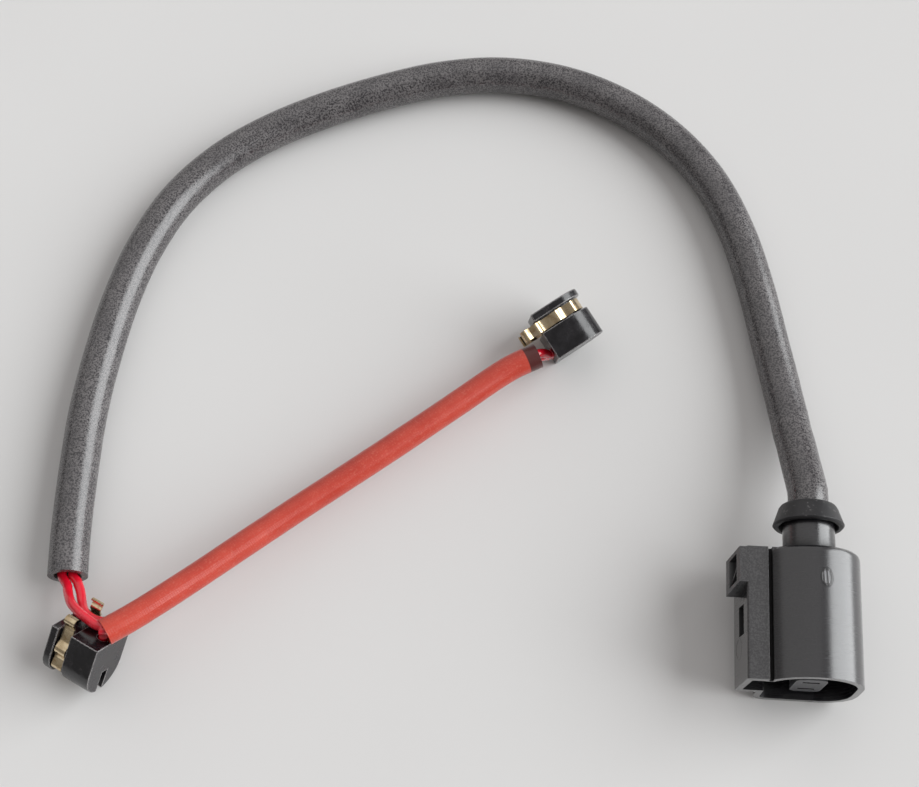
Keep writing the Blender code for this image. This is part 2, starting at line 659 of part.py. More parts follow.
def seals(carrier):
    """A rubber seal round each wire in its way, and the ring round the carrier's foot."""
    middle = SOCKET_FLOOR - CARRIER_SEAT - SEAL_WALL / 2
    for number, z in enumerate(contact_heights(), start=1):
        y = (-middle + WIRE_SEAL_LENGTH / 2, -middle - WIRE_SEAL_LENGTH / 2)
        outer, inner = WIRE_SEAL_DIAMETER / 2, WIRE_DIAMETER / 2 + WIRE_FIT / 2
        seal = turned_ring(f"wire_seal_{number}", [(outer, y[0]), (outer, y[1]), (inner, y[1]), (inner, y[0])], 24)
        seal.data.transform(Matrix.Translation((0, 0, z)))
        seal.parent = carrier
        finish(seal, (0.5, 0.16, 0.06), 0.6)
    ring = along_axis(plate("socket_seal", carrier_outline(FIT + SOCKET_SEAL_WIDTH), SOCKET_FLOOR + FIT,
                            SOCKET_FLOOR + FIT + SOCKET_SEAL_LENGTH))
    hole = along_axis(plate("socket_seal_hole", carrier_outline(FIT), SOCKET_FLOOR, SOCKET_FLOOR + 2 * SOCKET_SEAL_LENGTH))
    cut(ring, hole)
    ring.parent = carrier
    finish(ring, (0.45, 0.13, 0.05), 0.6)


def boot(carrier):
    """The rubber cap over the neck's end, which the sleeve goes into."""
    rim_y = NECK_LENGTH - BOOT_NECK_OVERLAP
    top_y = rim_y + BOOT_LENGTH
    seat = NECK_DIAMETER / 2 + FIT
    mouth = SLEEVE_DIAMETER / 2 + 2 * FIT
    rim = BOOT_RIM_DIAMETER / 2
    top = BOOT_TOP_DIAMETER / 2
    profile = [(mouth, top_y), (top - 1.1 * MM, top_y), (top - 0.4 * MM, top_y - 0.3 * MM), (top, top_y - 0.9 * MM),
               (rim - 0.2 * MM, rim_y + 0.9 * MM), (rim, rim_y + 0.35 * MM), (rim - 0.3 * MM, rim_y),
               (rim - BOOT_WALL, rim_y), (seat, rim_y + 1.5 * MM), (seat, NECK_LENGTH + FIT),
               (mouth, NECK_LENGTH + FIT)]
    cap = turned_ring("boot", profile, 40)
    cap.parent = carrier
    finish(cap, (0.07, 0.07, 0.073), 0.5)


def in_frame(carrier, points):
    """Points in a carrier's own directions, in millimetres, as points of the part."""
    return [carrier.matrix_world @ (Vector(p) * MM) for p in points]


def cords(connector, head_1, head_2):
    """The sleeve, the red tube and the three wires along their whole routes."""
    sleeve_start = connector.matrix_world @ Vector((0, NECK_LENGTH + FIT, 0))
    boot_top = connector.matrix_world @ Vector((0, NECK_LENGTH + FIT + SLEEVE_IN_BOOT, 0))
    sleeve_line = [sleeve_start] + smooth_points([boot_top] + [place(p) for p in SLEEVE_ROUTE], SLEEVE_STEP)
    tube_line = smooth_points([place(p) for p in TUBE_ROUTE], TUBE_STEP)
    sleeve = hollow_tube("sleeve", sleeve_line, SLEEVE_DIAMETER, SLEEVE_WALL, CORD_ROUNDNESS)
    tube = hollow_tube("red_tube", tube_line, TUBE_DIAMETER, TUBE_WALL, CORD_ROUNDNESS)
    finish(sleeve, (0.11, 0.11, 0.115), 0.6)
    finish(tube, (0.6, 0.07, 0.03), 0.45)

    in_sleeve = pair_lines(sleeve_line, lambda share: 90 * max(0.0, 1 - share * 2.5))
    in_tube = pair_lines(tube_line, lambda share: 90)
    upper, lower = contact_heights()
    wire_rear = -(SOCKET_FLOOR - CARRIER_SEAT + FIT) / MM - 1.3
    to_upper = in_frame(connector, [(0, wire_rear, upper / MM), (0, -6.0, upper / MM), (0, -4.6, upper / MM + 0.04),
                                    (0, -3.2, -0.5), (0, -1.5, 0.1), (0, -0.2, 0.5), (0, 2.2, 0.9), (0, 5.2, 1.02)])
    to_lower = in_frame(connector, [(0, wire_rear, lower / MM), (0, -6.0, lower / MM), (0, -4.7, lower / MM + 0.1),
                                    (0, -3.7, -4.8), (0, -2.6, -3.1), (0, -1.4, -1.8), (0, -0.2, -1.35), (0, 2.2, -1.1),
                                    (0, 5.2, -1.02)])
    hole_1 = wire_holes(1)
    hole_2 = wire_holes(-1)

    def into_head(carrier, hole, approach):
        """The last stretch of a wire: its approach, then straight into its hole."""
        across, through = hole[0] / MM, hole[1] / MM
        bend = list(approach) + [(-0.6, across, through), (0.3, across, through)]
        return smooth_points(in_frame(carrier, bend), WIRE_STEP) + in_frame(carrier, [(WIRE_INSERTION / MM, across,
                                                                                       through)])

    supply_end = into_head(head_1, hole_1[0], SUPPLY_BY_HEAD_1)
    link_start = into_head(head_1, hole_1[1], LINK_BY_HEAD_1)
    link_end = into_head(head_2, hole_2[0], [])
    return_start = smooth_points(in_frame(head_1, RETURN_BY_HEAD_1), WIRE_STEP)
    return_end = into_head(head_2, hole_2[1], [])
    wires = {
        "wire_return": to_upper + in_sleeve[0] + list(reversed(return_start)) + list(reversed(in_tube[0])) + return_end,
        "wire_supply": to_lower + in_sleeve[1] + supply_end,
        "wire_link": list(reversed(link_start)) + list(reversed(in_tube[1])) + link_end,
    }
    for name, line in wires.items():
        finish(curve_tube(name, line, WIRE_DIAMETER, WIRE_ROUNDNESS), (0.8, 0.02, 0.04), 0.3)


def build():
    connector = frame("connector_frame", laid(CONNECTOR_PLACE, AXIS_HEIGHT), CONNECTOR_TURN)
    head_1 = frame("head_1_frame", laid(HEAD_1_PLACE, HEAD_1_HEIGHT), HEAD_1_TURN)
    head_2 = frame("head_2_frame", laid(HEAD_2_PLACE, HEAD_2_HEIGHT), HEAD_2_TURN)
    housing(connector)
    terminal_carrier(connector)
    contacts(connector)
    seals(connector)
    boot(connector)
    sensor_head("head_1", head_1, 1, (SPRING_SHORT_END, SPRING_LONG_END))
    sensor_head("head_2", head_2, -1, (SPRING_LONG_END, SPRING_LONG_END))
    cords(connector, head_1, head_2)


build()
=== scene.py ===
"""Brake pad wear sensor: a plug with a boot, a sleeved lead, and two slotted heads joined by a red tube.

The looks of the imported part, built round its frame. Metres, +Z up, lying on a level floor at z = 0.
"""

import math

import bmesh
import bpy
from bpy.props import BoolProperty, FloatProperty, FloatVectorProperty, IntProperty, PointerProperty
from mathutils import Euler, Matrix, Vector


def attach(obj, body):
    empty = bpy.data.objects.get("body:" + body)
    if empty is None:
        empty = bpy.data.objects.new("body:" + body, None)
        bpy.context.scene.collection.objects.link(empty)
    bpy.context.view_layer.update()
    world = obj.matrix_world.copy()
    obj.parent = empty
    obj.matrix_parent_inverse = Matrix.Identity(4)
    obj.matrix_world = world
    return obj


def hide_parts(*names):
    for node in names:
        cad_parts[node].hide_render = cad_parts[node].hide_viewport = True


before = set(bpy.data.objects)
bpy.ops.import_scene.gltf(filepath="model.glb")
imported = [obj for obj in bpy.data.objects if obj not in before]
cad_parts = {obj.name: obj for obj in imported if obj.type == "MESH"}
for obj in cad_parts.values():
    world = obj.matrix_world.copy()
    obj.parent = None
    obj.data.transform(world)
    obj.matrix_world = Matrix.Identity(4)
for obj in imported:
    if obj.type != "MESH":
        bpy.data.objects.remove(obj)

bl_info = {
    "name": "Brake pad wear sensor",
    "version": (1, 0, 0),
    "blender": (4, 5, 0),
    "location": "View3D > Sidebar > Wear sensor",
    "description": "Builds a brake pad wear sensor with its plug, lead, red tube and sensor heads",
    "category": "Object",
}

MM = 0.001

# The part's layout, the same as in the part's source
ORIGIN = Vector((-0.00124, -0.02147, 0.0))
CONNECTOR_PLACE = Vector((0.06465, -0.03655, 0.0108))
CONNECTOR_TURN = (0.0, 0.0, -3.4)
HEAD_1_PLACE = Vector((-0.0717, -0.0475, 0.00885))
HEAD_1_TURN = (-85.0, 40.4, -116.9)
HEAD_2_PLACE = Vector((0.0138, 0.0130, 0.0075))
HEAD_2_TURN = (104.9, -8.9, 32.0)
SLEEVE_START = (0.0, 0.0079, 0.0)
SLEEVE_BOOT_TOP = (0.0, 0.0095, 0.0)
SLEEVE_ROUTE = (
    (0.0655, -0.0242, 0.0103), (0.0653, -0.0203, 0.0090), (0.0651, -0.0170, 0.0078),
    (0.0649, -0.0136, 0.0067), (0.0645, -0.0104, 0.0059), (0.0643, -0.0072, 0.0052),
    (0.0639, -0.0039, 0.0047), (0.0631, 0.0025, 0.0041), (0.0621, 0.0089, 0.0039),
    (0.0600, 0.0218, 0.0039), (0.0569, 0.0347, 0.0039), (0.0517, 0.0469, 0.0039),
    (0.0437, 0.0572, 0.0039), (0.0336, 0.0650, 0.0039), (0.0220, 0.0701, 0.0039),
    (0.0092, 0.0722, 0.0039), (-0.0036, 0.0712, 0.0039), (-0.0159, 0.0680, 0.0039),
    (-0.0281, 0.0636, 0.0039), (-0.0397, 0.0581, 0.0039), (-0.0498, 0.0512, 0.0039),
    (-0.0582, 0.0422, 0.0039), (-0.0643, 0.0311, 0.0039), (-0.0683, 0.0193, 0.0039),
    (-0.0710, 0.0069, 0.0040), (-0.0728, -0.0055, 0.0042), (-0.0735, -0.0179, 0.0046),
    (-0.0737, -0.0301, 0.0052), (-0.0734, -0.0392, 0.0057),
)
TUBE_ROUTE = (
    (0.0154, 0.0052, 0.0070), (0.0091, 0.0021, 0.0067), (-0.0011, -0.0052, 0.0064),
    (-0.0112, -0.0124, 0.0062), (-0.0211, -0.0194, 0.0062), (-0.0309, -0.0264, 0.0066),
    (-0.0403, -0.0335, 0.0076), (-0.0494, -0.0406, 0.0090), (-0.0582, -0.0474, 0.0109),
    (-0.0641, -0.0514, 0.0120),
)

# The wires' bends, in millimetres, in the plug's own directions and in head 1's
RETURN_IN_PLUG = (
    (0, -9.6, -0.8), (0, -6.0, -0.8), (0, -4.6, -0.76), (0, -3.2, -0.5), (0, -1.5, 0.1), (0, -0.2, 0.5),
    (0, 2.2, 0.9), (0, 5.2, 1.02),
)
SUPPLY_IN_PLUG = (
    (0, -9.6, -5.8), (0, -6.0, -5.8), (0, -4.7, -5.7), (0, -3.7, -4.8), (0, -2.6, -3.1),
    (0, -1.4, -1.8), (0, -0.2, -1.35), (0, 2.2, -1.1), (0, 5.2, -1.02),
)
RETURN_BY_HEAD_1 = (
    (-3.0, -1.9, 8.2), (-2.6, -1.9, 6.8), (-2.5, -1.6, 5.0), (-2.3, -0.9, 2.5), (-2.1, 0.6, -0.5),
    (-2.0, 2.7, -2.7), (-2.3, 4.6, -4.5),
)
SUPPLY_BY_HEAD_1 = (
    (-3.1, 6.2, -3.6), (-2.3, 5.1, -1.8), (-1.5, 3.6, -0.1), (-1.3, 1.9, 1.7), (-1.3, 1.1, 3.3),
    (-1.3, 1.2, 5.0), (-1.5, 2.1, 7.0),
)
LINK_BY_HEAD_1 = ((-1.9, -0.6, 8.9),)
WIRE_HOLES_ACROSS = (2.6, -0.4)
WIRE_HOLE_DEPTH = 8.2
WIRE_INSERTION = 2.4
WIRE_PAIR_SPACING = 0.00204

# Sections of the lead
SLEEVE_DIAMETER = 0.0075
SLEEVE_WALL = 0.00115
TUBE_DIAMETER = 0.0050
TUBE_WALL = 0.00035
WIRE_DIAMETER = 0.0018

# Spring clips: one arm's line from the bend round the core, and the two shapes of its end, in millimetres
SPRING_ARM = (
    (10.0, 0.0), (9.8, 1.5), (9.1, 3.0), (8.1, 4.15), (7.1, 4.15), (6.2, 3.9), (5.3, 4.2), (4.6, 4.7),
    (3.9, 4.75), (3.2, 4.3), (2.5, 3.8), (1.6, 3.7),
)
SPRING_LONG_END = (
    (0.8, 3.85), (0.1, 4.35), (-0.5, 4.45), (-1.1, 4.05), (-1.7, 3.75), (-2.3, 4.05), (-2.9, 4.2),
    (-3.4, 3.75), (-3.4, 3.1),
)
SPRING_SHORT_END = (
    (0.7, 3.7), (-0.1, 3.75), (-0.8, 3.8), (-1.4, 4.3), (-2.0, 4.6), (-2.6, 4.2), (-2.7, 3.5),
)
SPRING_WIDTH = 0.0022
SPRING_THICKNESS = 0.00032
SPRING_MIDDLE = 0.0029

# How far apart the points of each line are, and how finely its bends are worked out before they are spread
CORD_STEP = 0.0015
WIRE_STEP = 0.0007
PAIR_STEP = 0.006
SPRING_STEP = 0.00014
STEPS_PER_BEND = 24

# How uneven each cord is, as a share of its radius, and how quickly that changes along it
SLEEVE_UNEVENNESS = 0.015
TUBE_UNEVENNESS = 0.05
WIRE_UNEVENNESS = 0.02
SWELLS_PER_METRE = 45.0

# How far the light shows the moulded pieces' edges as rounded
EDGE_ROUNDING = 0.00018

# In a CAD piece: the angle in degrees from which an edge is sharp, the angle up to which faces count as one
# flat face, and the gap under which corners count as one
SHARP_ANGLE = 24.0
FLAT_ANGLE = 0.5
MERGE_DISTANCE = 1e-6

# The same gap for a swept piece, and the angle in degrees under which its faces are smooth
WELD_DISTANCE = 1e-7
SMOOTH_UNDER = 40.0

# How high a surface's fine grain stands, and how much open sky is seen from outside and from a recess
GRAIN_HEIGHT = 0.00004
SKY_OUTSIDE = 0.9
SKY_INSIDE = 0.58

# Where the hood's dull, dusty skin gives way to the smooth barrel, sideways and downwards
HOOD_EDGE = 0.0574
HOOD_EDGE_WIDTH = 0.0005
HOOD_SKIN = 0.0148
HOOD_SKIN_WIDTH = 0.0002

# The moulded marks on the plug: the middle of each and half its size, how far the flank's one reaches into
# the wall, and how close together the fine strokes in the ejector's one are
EJECTOR_MARK = (0.0671, -0.0213, 0.018)
EJECTOR_SIZE = (0.00115, 0.0018)
GATE_MARK = (0.0659, -0.0352, 0.018)
GATE_SIZE = (0.0004, 0.0004)
FLANK_MARK = (0.0524, -0.0324, 0.0090)
FLANK_SIZE = (0.0021, 0.0021)
FLANK_DEPTH = 0.0035
EJECTOR_STROKES = 450.0

# The red tube's weave, and where the painted shadow of head 2, a dark band at the tube's end, stops and how
# softly
WEAVE_STRANDS = 16
WEAVE_STEP = 0.0009
HEAD_SHADOW_END = 0.00245
HEAD_SHADOW_EDGE = 0.00017

# The photograph's camera
CAMERA_ELEVATION = 68.0
CAMERA_DISTANCE = 0.3148
CAMERA_LENS = 61.66
CAMERA_SENSOR = 36.0
CAMERA_CLIP = 0.01

# The stage: where each lamp shines from, its spread in degrees, its strength and its colour
LAMPS = (
    ("key", (0.88, 0.06, 0.46), 60.0, 3.9, (0.98, 1.0, 1.01)),
    ("top", (-0.30, 0.50, 0.72), 85.0, 0.7, (1.0, 0.99, 0.99)),
)
ROOM_COLOUR = (1.0, 0.965, 0.95, 1.0)
ROOM_STRENGTH = 0.25
FLOOR_HALF_SIZE = 12.0

# The Mix node's sockets for colours, which share their names with its other ones
MIX_FIRST, MIX_SECOND, MIX_RESULT = 6, 7, 2


def srgb(red, green, blue):
    """A colour as it is seen, 0 to 255, as the linear one that a shader takes."""
    values = [c / 255 for c in (red, green, blue)]
    return (*[c / 12.92 if c <= 0.04045 else ((c + 0.055) / 1.055) ** 2.4 for c in values], 1.0)


def varied(colour, by):
    """A colour with its red, green and blue each multiplied."""
    return (*[channel * share for channel, share in zip(colour, by)], 1.0)


# The colours that a user may change, and what each one's red, green and blue are multiplied by in places
PLUG_COLOUR, PLUG_PALER = srgb(19, 18, 22), (1.403, 1.416, 1.366)
SLEEVE_COLOUR, SLEEVE_PALER = srgb(37, 35, 38), (1.477, 1.499, 1.467)
TUBE_COLOUR, TUBE_PALER = srgb(184, 54, 37), (1.192, 1.567, 1.66)
WIRE_COLOUR, WIRE_PALER = srgb(212, 14, 38), (1.178, 2.352, 1.772)


# Lines in space


def carrier(place, turn):
    """The matrix of one assembly's own directions."""
    turned = Euler([math.radians(a) for a in turn]).to_matrix().to_4x4()
    return Matrix.Translation(place - ORIGIN) @ turned


PLUG = carrier(CONNECTOR_PLACE, CONNECTOR_TURN)
HEAD_1 = carrier(HEAD_1_PLACE, HEAD_1_TURN)
HEAD_2 = carrier(HEAD_2_PLACE, HEAD_2_TURN)


def in_frame(matrix, points):
    """Points in an assembly's own directions, in millimetres, as points of the part."""
    return [matrix @ (Vector(p) * MM) for p in points]


def laid(route):
    """A route of the layout in the part's own frame."""
    return [Vector(p) - ORIGIN for p in route]


def smooth_points(route, step):
    """Points about one step apart on the smooth curve through a route's own points."""
    ends = [2 * route[0] - route[1]] + list(route) + [2 * route[-1] - route[-2]]
    fine = []
    for before, start, end, after in zip(ends, ends[1:], ends[2:], ends[3:]):
        for i in range(STEPS_PER_BEND):
            t = i / STEPS_PER_BEND
            fine.append(0.5 * (2 * start + t * (end - before)
                               + t * t * (2 * before - 5 * start + 4 * end - after)
                               + t ** 3 * (3 * start - before - 3 * end + after)))
    fine.append(route[-1])
    length = length_of(fine)
    count = max(2, round(length / step))
    points, run, wanted = [fine[0]], 0.0, length / count
    for a, b in zip(fine, fine[1:]):
        gap = (b - a).length
        while run + gap >= wanted - 1e-9 and len(points) < count:
            points.append(a.lerp(b, (wanted - run) / gap))
            wanted += length / count
        run += gap
    return points + [fine[-1]]


def length_of(points):
    """The length of a line of points."""
    return sum((b - a).length for a, b in zip(points, points[1:]))


def pair_lines(points, turn):
    """Two lines beside a centre line; turn gives the pair's angle at each share of the way, in degrees."""
    lines = ([], [])
    for i, point in enumerate(points):
        along = (points[min(i + 1, len(points) - 1)] - points[max(i - 1, 0)]).normalized()
        side = along.cross(Vector((0, 0, 1))).normalized()
        angle = math.radians(turn(i / (len(points) - 1)))
        apart = (side * math.cos(angle) + side.cross(along) * math.sin(angle)) * WIRE_PAIR_SPACING / 2
        lines[0].append(point + apart)
        lines[1].append(point - apart)
    return lines


def sleeve_line(step):
    """The sleeve's middle, from inside the boot to its open end."""
    start, top = (PLUG @ Vector(p) for p in (SLEEVE_START, SLEEVE_BOOT_TOP))
    return [start] + smooth_points([top] + laid(SLEEVE_ROUTE), step)


def tube_line(step):
    """The red tube's middle, from head 2 to head 1."""
    return smooth_points(laid(TUBE_ROUTE), step)


def into_head(matrix, side, which, approach, step):
    """The last stretch of a wire: its approach, then straight into its hole."""
    across = WIRE_HOLES_ACROSS[which] * side
    bend = list(approach) + [(-0.6, across, WIRE_HOLE_DEPTH), (0.3, across, WIRE_HOLE_DEPTH)]
    straight = in_frame(matrix, [(WIRE_INSERTION, across, WIRE_HOLE_DEPTH)])
    return smooth_points(in_frame(matrix, bend), step) + straight


def wire_lines(step):
    """The whole lines of the three wires: return, supply and the link between the heads."""
    in_sleeve = pair_lines(sleeve_line(PAIR_STEP)[1:], lambda share: 90 * max(0.0, 1 - share * 2.5))
    in_tube = pair_lines(tube_line(PAIR_STEP), lambda share: 90)
    by_head = smooth_points(in_frame(HEAD_1, RETURN_BY_HEAD_1), step)
    lines = {
        "wire_return": smooth_points(in_frame(PLUG, RETURN_IN_PLUG) + in_sleeve[0], step) + by_head[::-1]
        + in_tube[0][::-1] + into_head(HEAD_2, -1, 1, [], step),
        "wire_supply": smooth_points(in_frame(PLUG, SUPPLY_IN_PLUG) + in_sleeve[1], step)
        + into_head(HEAD_1, 1, 0, SUPPLY_BY_HEAD_1, step),
        "wire_link": into_head(HEAD_1, 1, 1, LINK_BY_HEAD_1, step)[::-1] + in_tube[1][::-1]
        + into_head(HEAD_2, -1, 0, [], step),
    }
    return {name: smooth_points(line, step) for name, line in lines.items()}


# Nodes of both kinds


def new_socket(group, name, kind, output=False, default=None):
    """A named input or output of a node group."""
    way = "OUTPUT" if output else "INPUT"
    made = group.interface.new_socket(name, in_out=way, socket_type=f"NodeSocket{kind}")
    if default is not None:
        made.default_value = default


def identifier(group, name):
    """The identifier of a node group's input, by its name."""
    for item in group.interface.items_tree:
        if item.item_type == "SOCKET" and item.in_out == "INPUT" and item.name == name:
            return item.identifier
    raise KeyError(name)


def add(tree, kind, **settings):
    """A new node with its settings."""
    node = tree.nodes.new(kind)
    for name, value in settings.items():
        setattr(node, name, value)
    return node


def feed(tree, socket, given):
    """Links a socket to another node's output, or sets it to a constant."""
    if hasattr(given, "links"):
        tree.links.new(given, socket)
    else:
        socket.default_value = given


def maths(tree, operation, *values):
    """One step of arithmetic."""
    made = add(tree, "ShaderNodeMath", operation=operation)
    for socket, given in zip(made.inputs, values):
        feed(tree, socket, given)
    return made.outputs[0]


# Geometry nodes


def stored(group, name, geometry, value):
    """Geometry with a value kept on its points under a name."""
    made = add(group, "GeometryNodeStoreNamedAttribute", data_type="FLOAT", domain="POINT")
    made.inputs["Name"].default_value = name
    group.links.new(geometry, made.inputs["Geometry"])
    group.links.new(value, made.inputs["Value"])
    return made.outputs["Geometry"]


def swept_group(name, inputs):
    """A new group for a swept piece, its inputs, the way along its curve, and the curve itself."""
    group = bpy.data.node_groups.new(name, "GeometryNodeTree")
    new_socket(group, "Curve", "Geometry")
    for key, kind, default in inputs:
        new_socket(group, key, kind, default=default)
    new_socket(group, "Material", "Material")
    new_socket(group, "Mesh", "Geometry", output=True)
    given = add(group, "NodeGroupInput")
    along = add(group, "GeometryNodeSplineParameter").outputs["Length"]
    return group, given, along, stored(group, "along", given.outputs["Curve"], along)


def tube_nodes():
    """A round tube or bar along a curve, with how far along and around it each point is."""
    group, given, along, curve = swept_group("tube_along_curve", (
        ("Radius", "Float", 0.001), ("Sides", "Int", 16),
        ("Closed Ends", "Bool", True), ("Unevenness", "Float", 0.0)))
    link = group.links.new
    circle = add(group, "GeometryNodeCurvePrimitiveCircle", mode="RADIUS")
    link(given.outputs["Sides"], circle.inputs["Resolution"])
    link(given.outputs["Radius"], circle.inputs["Radius"])
    turn = add(group, "GeometryNodeSplineParameter").outputs["Factor"]
    section = stored(group, "around", circle.outputs["Curve"], turn)
    wave = add(group, "ShaderNodeTexNoise", noise_dimensions="1D")
    wave.inputs["Scale"].default_value = SWELLS_PER_METRE
    wave.inputs["Detail"].default_value = 1.0
    link(along, wave.inputs["W"])
    centred = maths(group, "SUBTRACT", wave.outputs["Fac"], 0.5)
    swell = maths(group, "MULTIPLY_ADD", centred, given.outputs["Unevenness"], 1.0)
    swept = add(group, "GeometryNodeCurveToMesh")
    link(curve, swept.inputs["Curve"])
    link(swell, swept.inputs["Scale"])
    link(section, swept.inputs["Profile Curve"])
    link(given.outputs["Closed Ends"], swept.inputs["Fill Caps"])
    close_group(group, swept.outputs["Mesh"], given)
    return group


def strip_nodes():
    """A flat strip standing on edge along a level curve, with how far along it each point is."""
    group, given, _, curve = swept_group("strip_along_curve", (
        ("Width", "Float", 0.002), ("Thickness", "Float", 0.0003)))
    link = group.links.new
    upright = add(group, "GeometryNodeSetCurveNormal", mode="Z_UP")
    link(curve, upright.inputs["Curve"])
    section = add(group, "GeometryNodeCurvePrimitiveQuadrilateral", mode="RECTANGLE")
    link(given.outputs["Thickness"], section.inputs["Width"])
    link(given.outputs["Width"], section.inputs["Height"])
    swept = add(group, "GeometryNodeCurveToMesh")
    swept.inputs["Fill Caps"].default_value = True
    link(upright.outputs["Curve"], swept.inputs["Curve"])
    link(section.outputs["Curve"], swept.inputs["Profile Curve"])
    close_group(group, swept.outputs["Mesh"], given)
    return group


def close_group(group, mesh, given):
    """Ends a node group: instances made real, then the material set."""
    real = add(group, "GeometryNodeRealizeInstances")
    group.links.new(mesh, real.inputs["Geometry"])
    painted = add(group, "GeometryNodeSetMaterial")
    group.links.new(real.outputs["Geometry"], painted.inputs["Geometry"])
    group.links.new(given.outputs["Material"], painted.inputs["Material"])
    result = add(group, "NodeGroupOutput")
    group.links.new(painted.outputs["Geometry"], result.inputs["Mesh"])


def curve_object(name, points):
    """A curve through a line of points."""
    data = bpy.data.curves.new(name, "CURVE")
    data.dimensions = "3D"
    line = data.splines.new("POLY")
    line.points.add(len(points) - 1)
    for knot, point in zip(line.points, points):
        knot.co = (*point, 1.0)
    made = bpy.data.objects.new(name, data)
    bpy.context.scene.collection.objects.link(made)
    return made


def converted(obj, name):
    """The object as it is evaluated, as a plain mesh in its place, with its faces outwards."""
    graph = bpy.context.evaluated_depsgraph_get()
    mesh = bpy.data.meshes.new_from_object(obj.evaluated_get(graph))
    if not mesh.polygons:
        raise RuntimeError(f"{name} has no faces")
    mesh.name = name
    bpy.data.objects.remove(obj, do_unlink=True)
    made = bpy.data.objects.new(name, mesh)
    bpy.context.scene.collection.objects.link(made)
    work = bmesh.new()
    work.from_mesh(mesh)
    bmesh.ops.remove_doubles(work, verts=work.verts, dist=WELD_DISTANCE)
    if work.calc_volume(signed=True) < 0:
        bmesh.ops.reverse_faces(work, faces=work.faces)
    work.to_mesh(mesh)
    work.free()
    mesh.shade_smooth()
    mesh.set_sharp_from_angle(angle=math.radians(SMOOTH_UNDER))
    return made


def along_curve(name, points, group, values, wall=0.0):
    """A piece made by a node group along a line of points; a wall makes it a tube, inwards."""
    source = curve_object(f"{name}_line", points)
    nodes = source.modifiers.new("sweep", "NODES")
    nodes.node_group = group
    for key, value in values.items():
        nodes[identifier(group, key)] = value
    if wall:
        shell = source.modifiers.new("wall", "SOLIDIFY")
        shell.thickness = wall
        shell.offset = -1.0
        shell.use_even_offset = True
    return converted(source, name)


# Shader node groups


def mask_group(name, inputs):
    """A new shader node group with its inputs, and the nodes that its inputs and outputs are on."""
    group = bpy.data.node_groups.new(name, "ShaderNodeTree")
    for key, value in inputs.items():
        new_socket(group, key, "Vector" if isinstance(value, tuple) else "Float", default=value)
    return group, add(group, "NodeGroupInput"), add(group, "NodeGroupOutput")


def noise(tree, scale, detail=3.0, roughness=0.6, stretch=None):
    """A noise texture over the piece's own coordinates, stretched along an axis if asked."""
    vector = add(tree, "ShaderNodeTexCoord").outputs["Object"]
    if stretch:
        squeezed = add(tree, "ShaderNodeMapping")
        squeezed.inputs["Scale"].default_value = stretch
        tree.links.new(vector, squeezed.inputs["Vector"])
        vector = squeezed.outputs[0]
    made = add(tree, "ShaderNodeTexNoise")
    for key, given in (("Vector", vector), ("Scale", scale), ("Detail", detail), ("Roughness", roughness)):
        feed(tree, made.inputs[key], given)
    return made.outputs["Fac"]


def ranged(tree, value, low, high, to_low=0.0, to_high=1.0):
    """A value spread from one range over another, and held at its ends."""
    made = add(tree, "ShaderNodeMapRange", clamp=True)
    wanted = {"Value": value, "From Min": low, "From Max": high, "To Min": to_low, "To Max": to_high}
    for key, given in wanted.items():
        feed(tree, made.inputs[key], given)
    return made.outputs["Result"]


def speckle_group():
    """Fine lighter grains on a ground, thinned by a slower noise."""
    group, given, result = mask_group("speckle", {"Scale": 1500.0, "Cover": 0.5})
    new_socket(group, "Mask", "Float", output=True)
    fine = noise(group, given.outputs["Scale"], detail=2.0, roughness=0.7)
    coarse = noise(group, maths(group, "MULTIPLY", given.outputs["Scale"], 0.06), detail=2.0)
    edge = maths(group, "SUBTRACT", 0.75, maths(group, "MULTIPLY", given.outputs["Cover"], 0.4))
    grains = ranged(group, fine, edge, maths(group, "ADD", edge, 0.16))
    thinned = maths(group, "MULTIPLY", grains, ranged(group, coarse, 0.3, 0.65, 0.6, 1.0))
    group.links.new(thinned, result.inputs["Mask"])
    return group


def edge_group():
    """Pale edges where a rounded normal leaves the face's own one, broken up by noise: worn edges on the
    plug, and on the heads both nicks and a painted highlight along nearly every edge.
    """
    group, given, result = mask_group("edge_wear_and_highlight", {"Radius": 0.0002, "Scale": 900.0, "Cover": 0.5})
    new_socket(group, "Mask", "Float", output=True)
    rounded = add(group, "ShaderNodeBevel", samples=6)
    group.links.new(given.outputs["Radius"], rounded.inputs["Radius"])
    flat = add(group, "ShaderNodeNewGeometry")
    agree = add(group, "ShaderNodeVectorMath", operation="DOT_PRODUCT")
    group.links.new(rounded.outputs[0], agree.inputs[0])
    group.links.new(flat.outputs["Normal"], agree.inputs[1])
    edge = ranged(group, maths(group, "SUBTRACT", 1.0, agree.outputs["Value"]), 0.01, 0.12)
    broken = noise(group, given.outputs["Scale"], detail=3.0)
    start = maths(group, "SUBTRACT", 0.75, maths(group, "MULTIPLY", given.outputs["Cover"], 0.45))
    chips = ranged(group, broken, start, maths(group, "ADD", start, 0.12))
    group.links.new(maths(group, "MULTIPLY", edge, chips), result.inputs["Mask"])
    return group


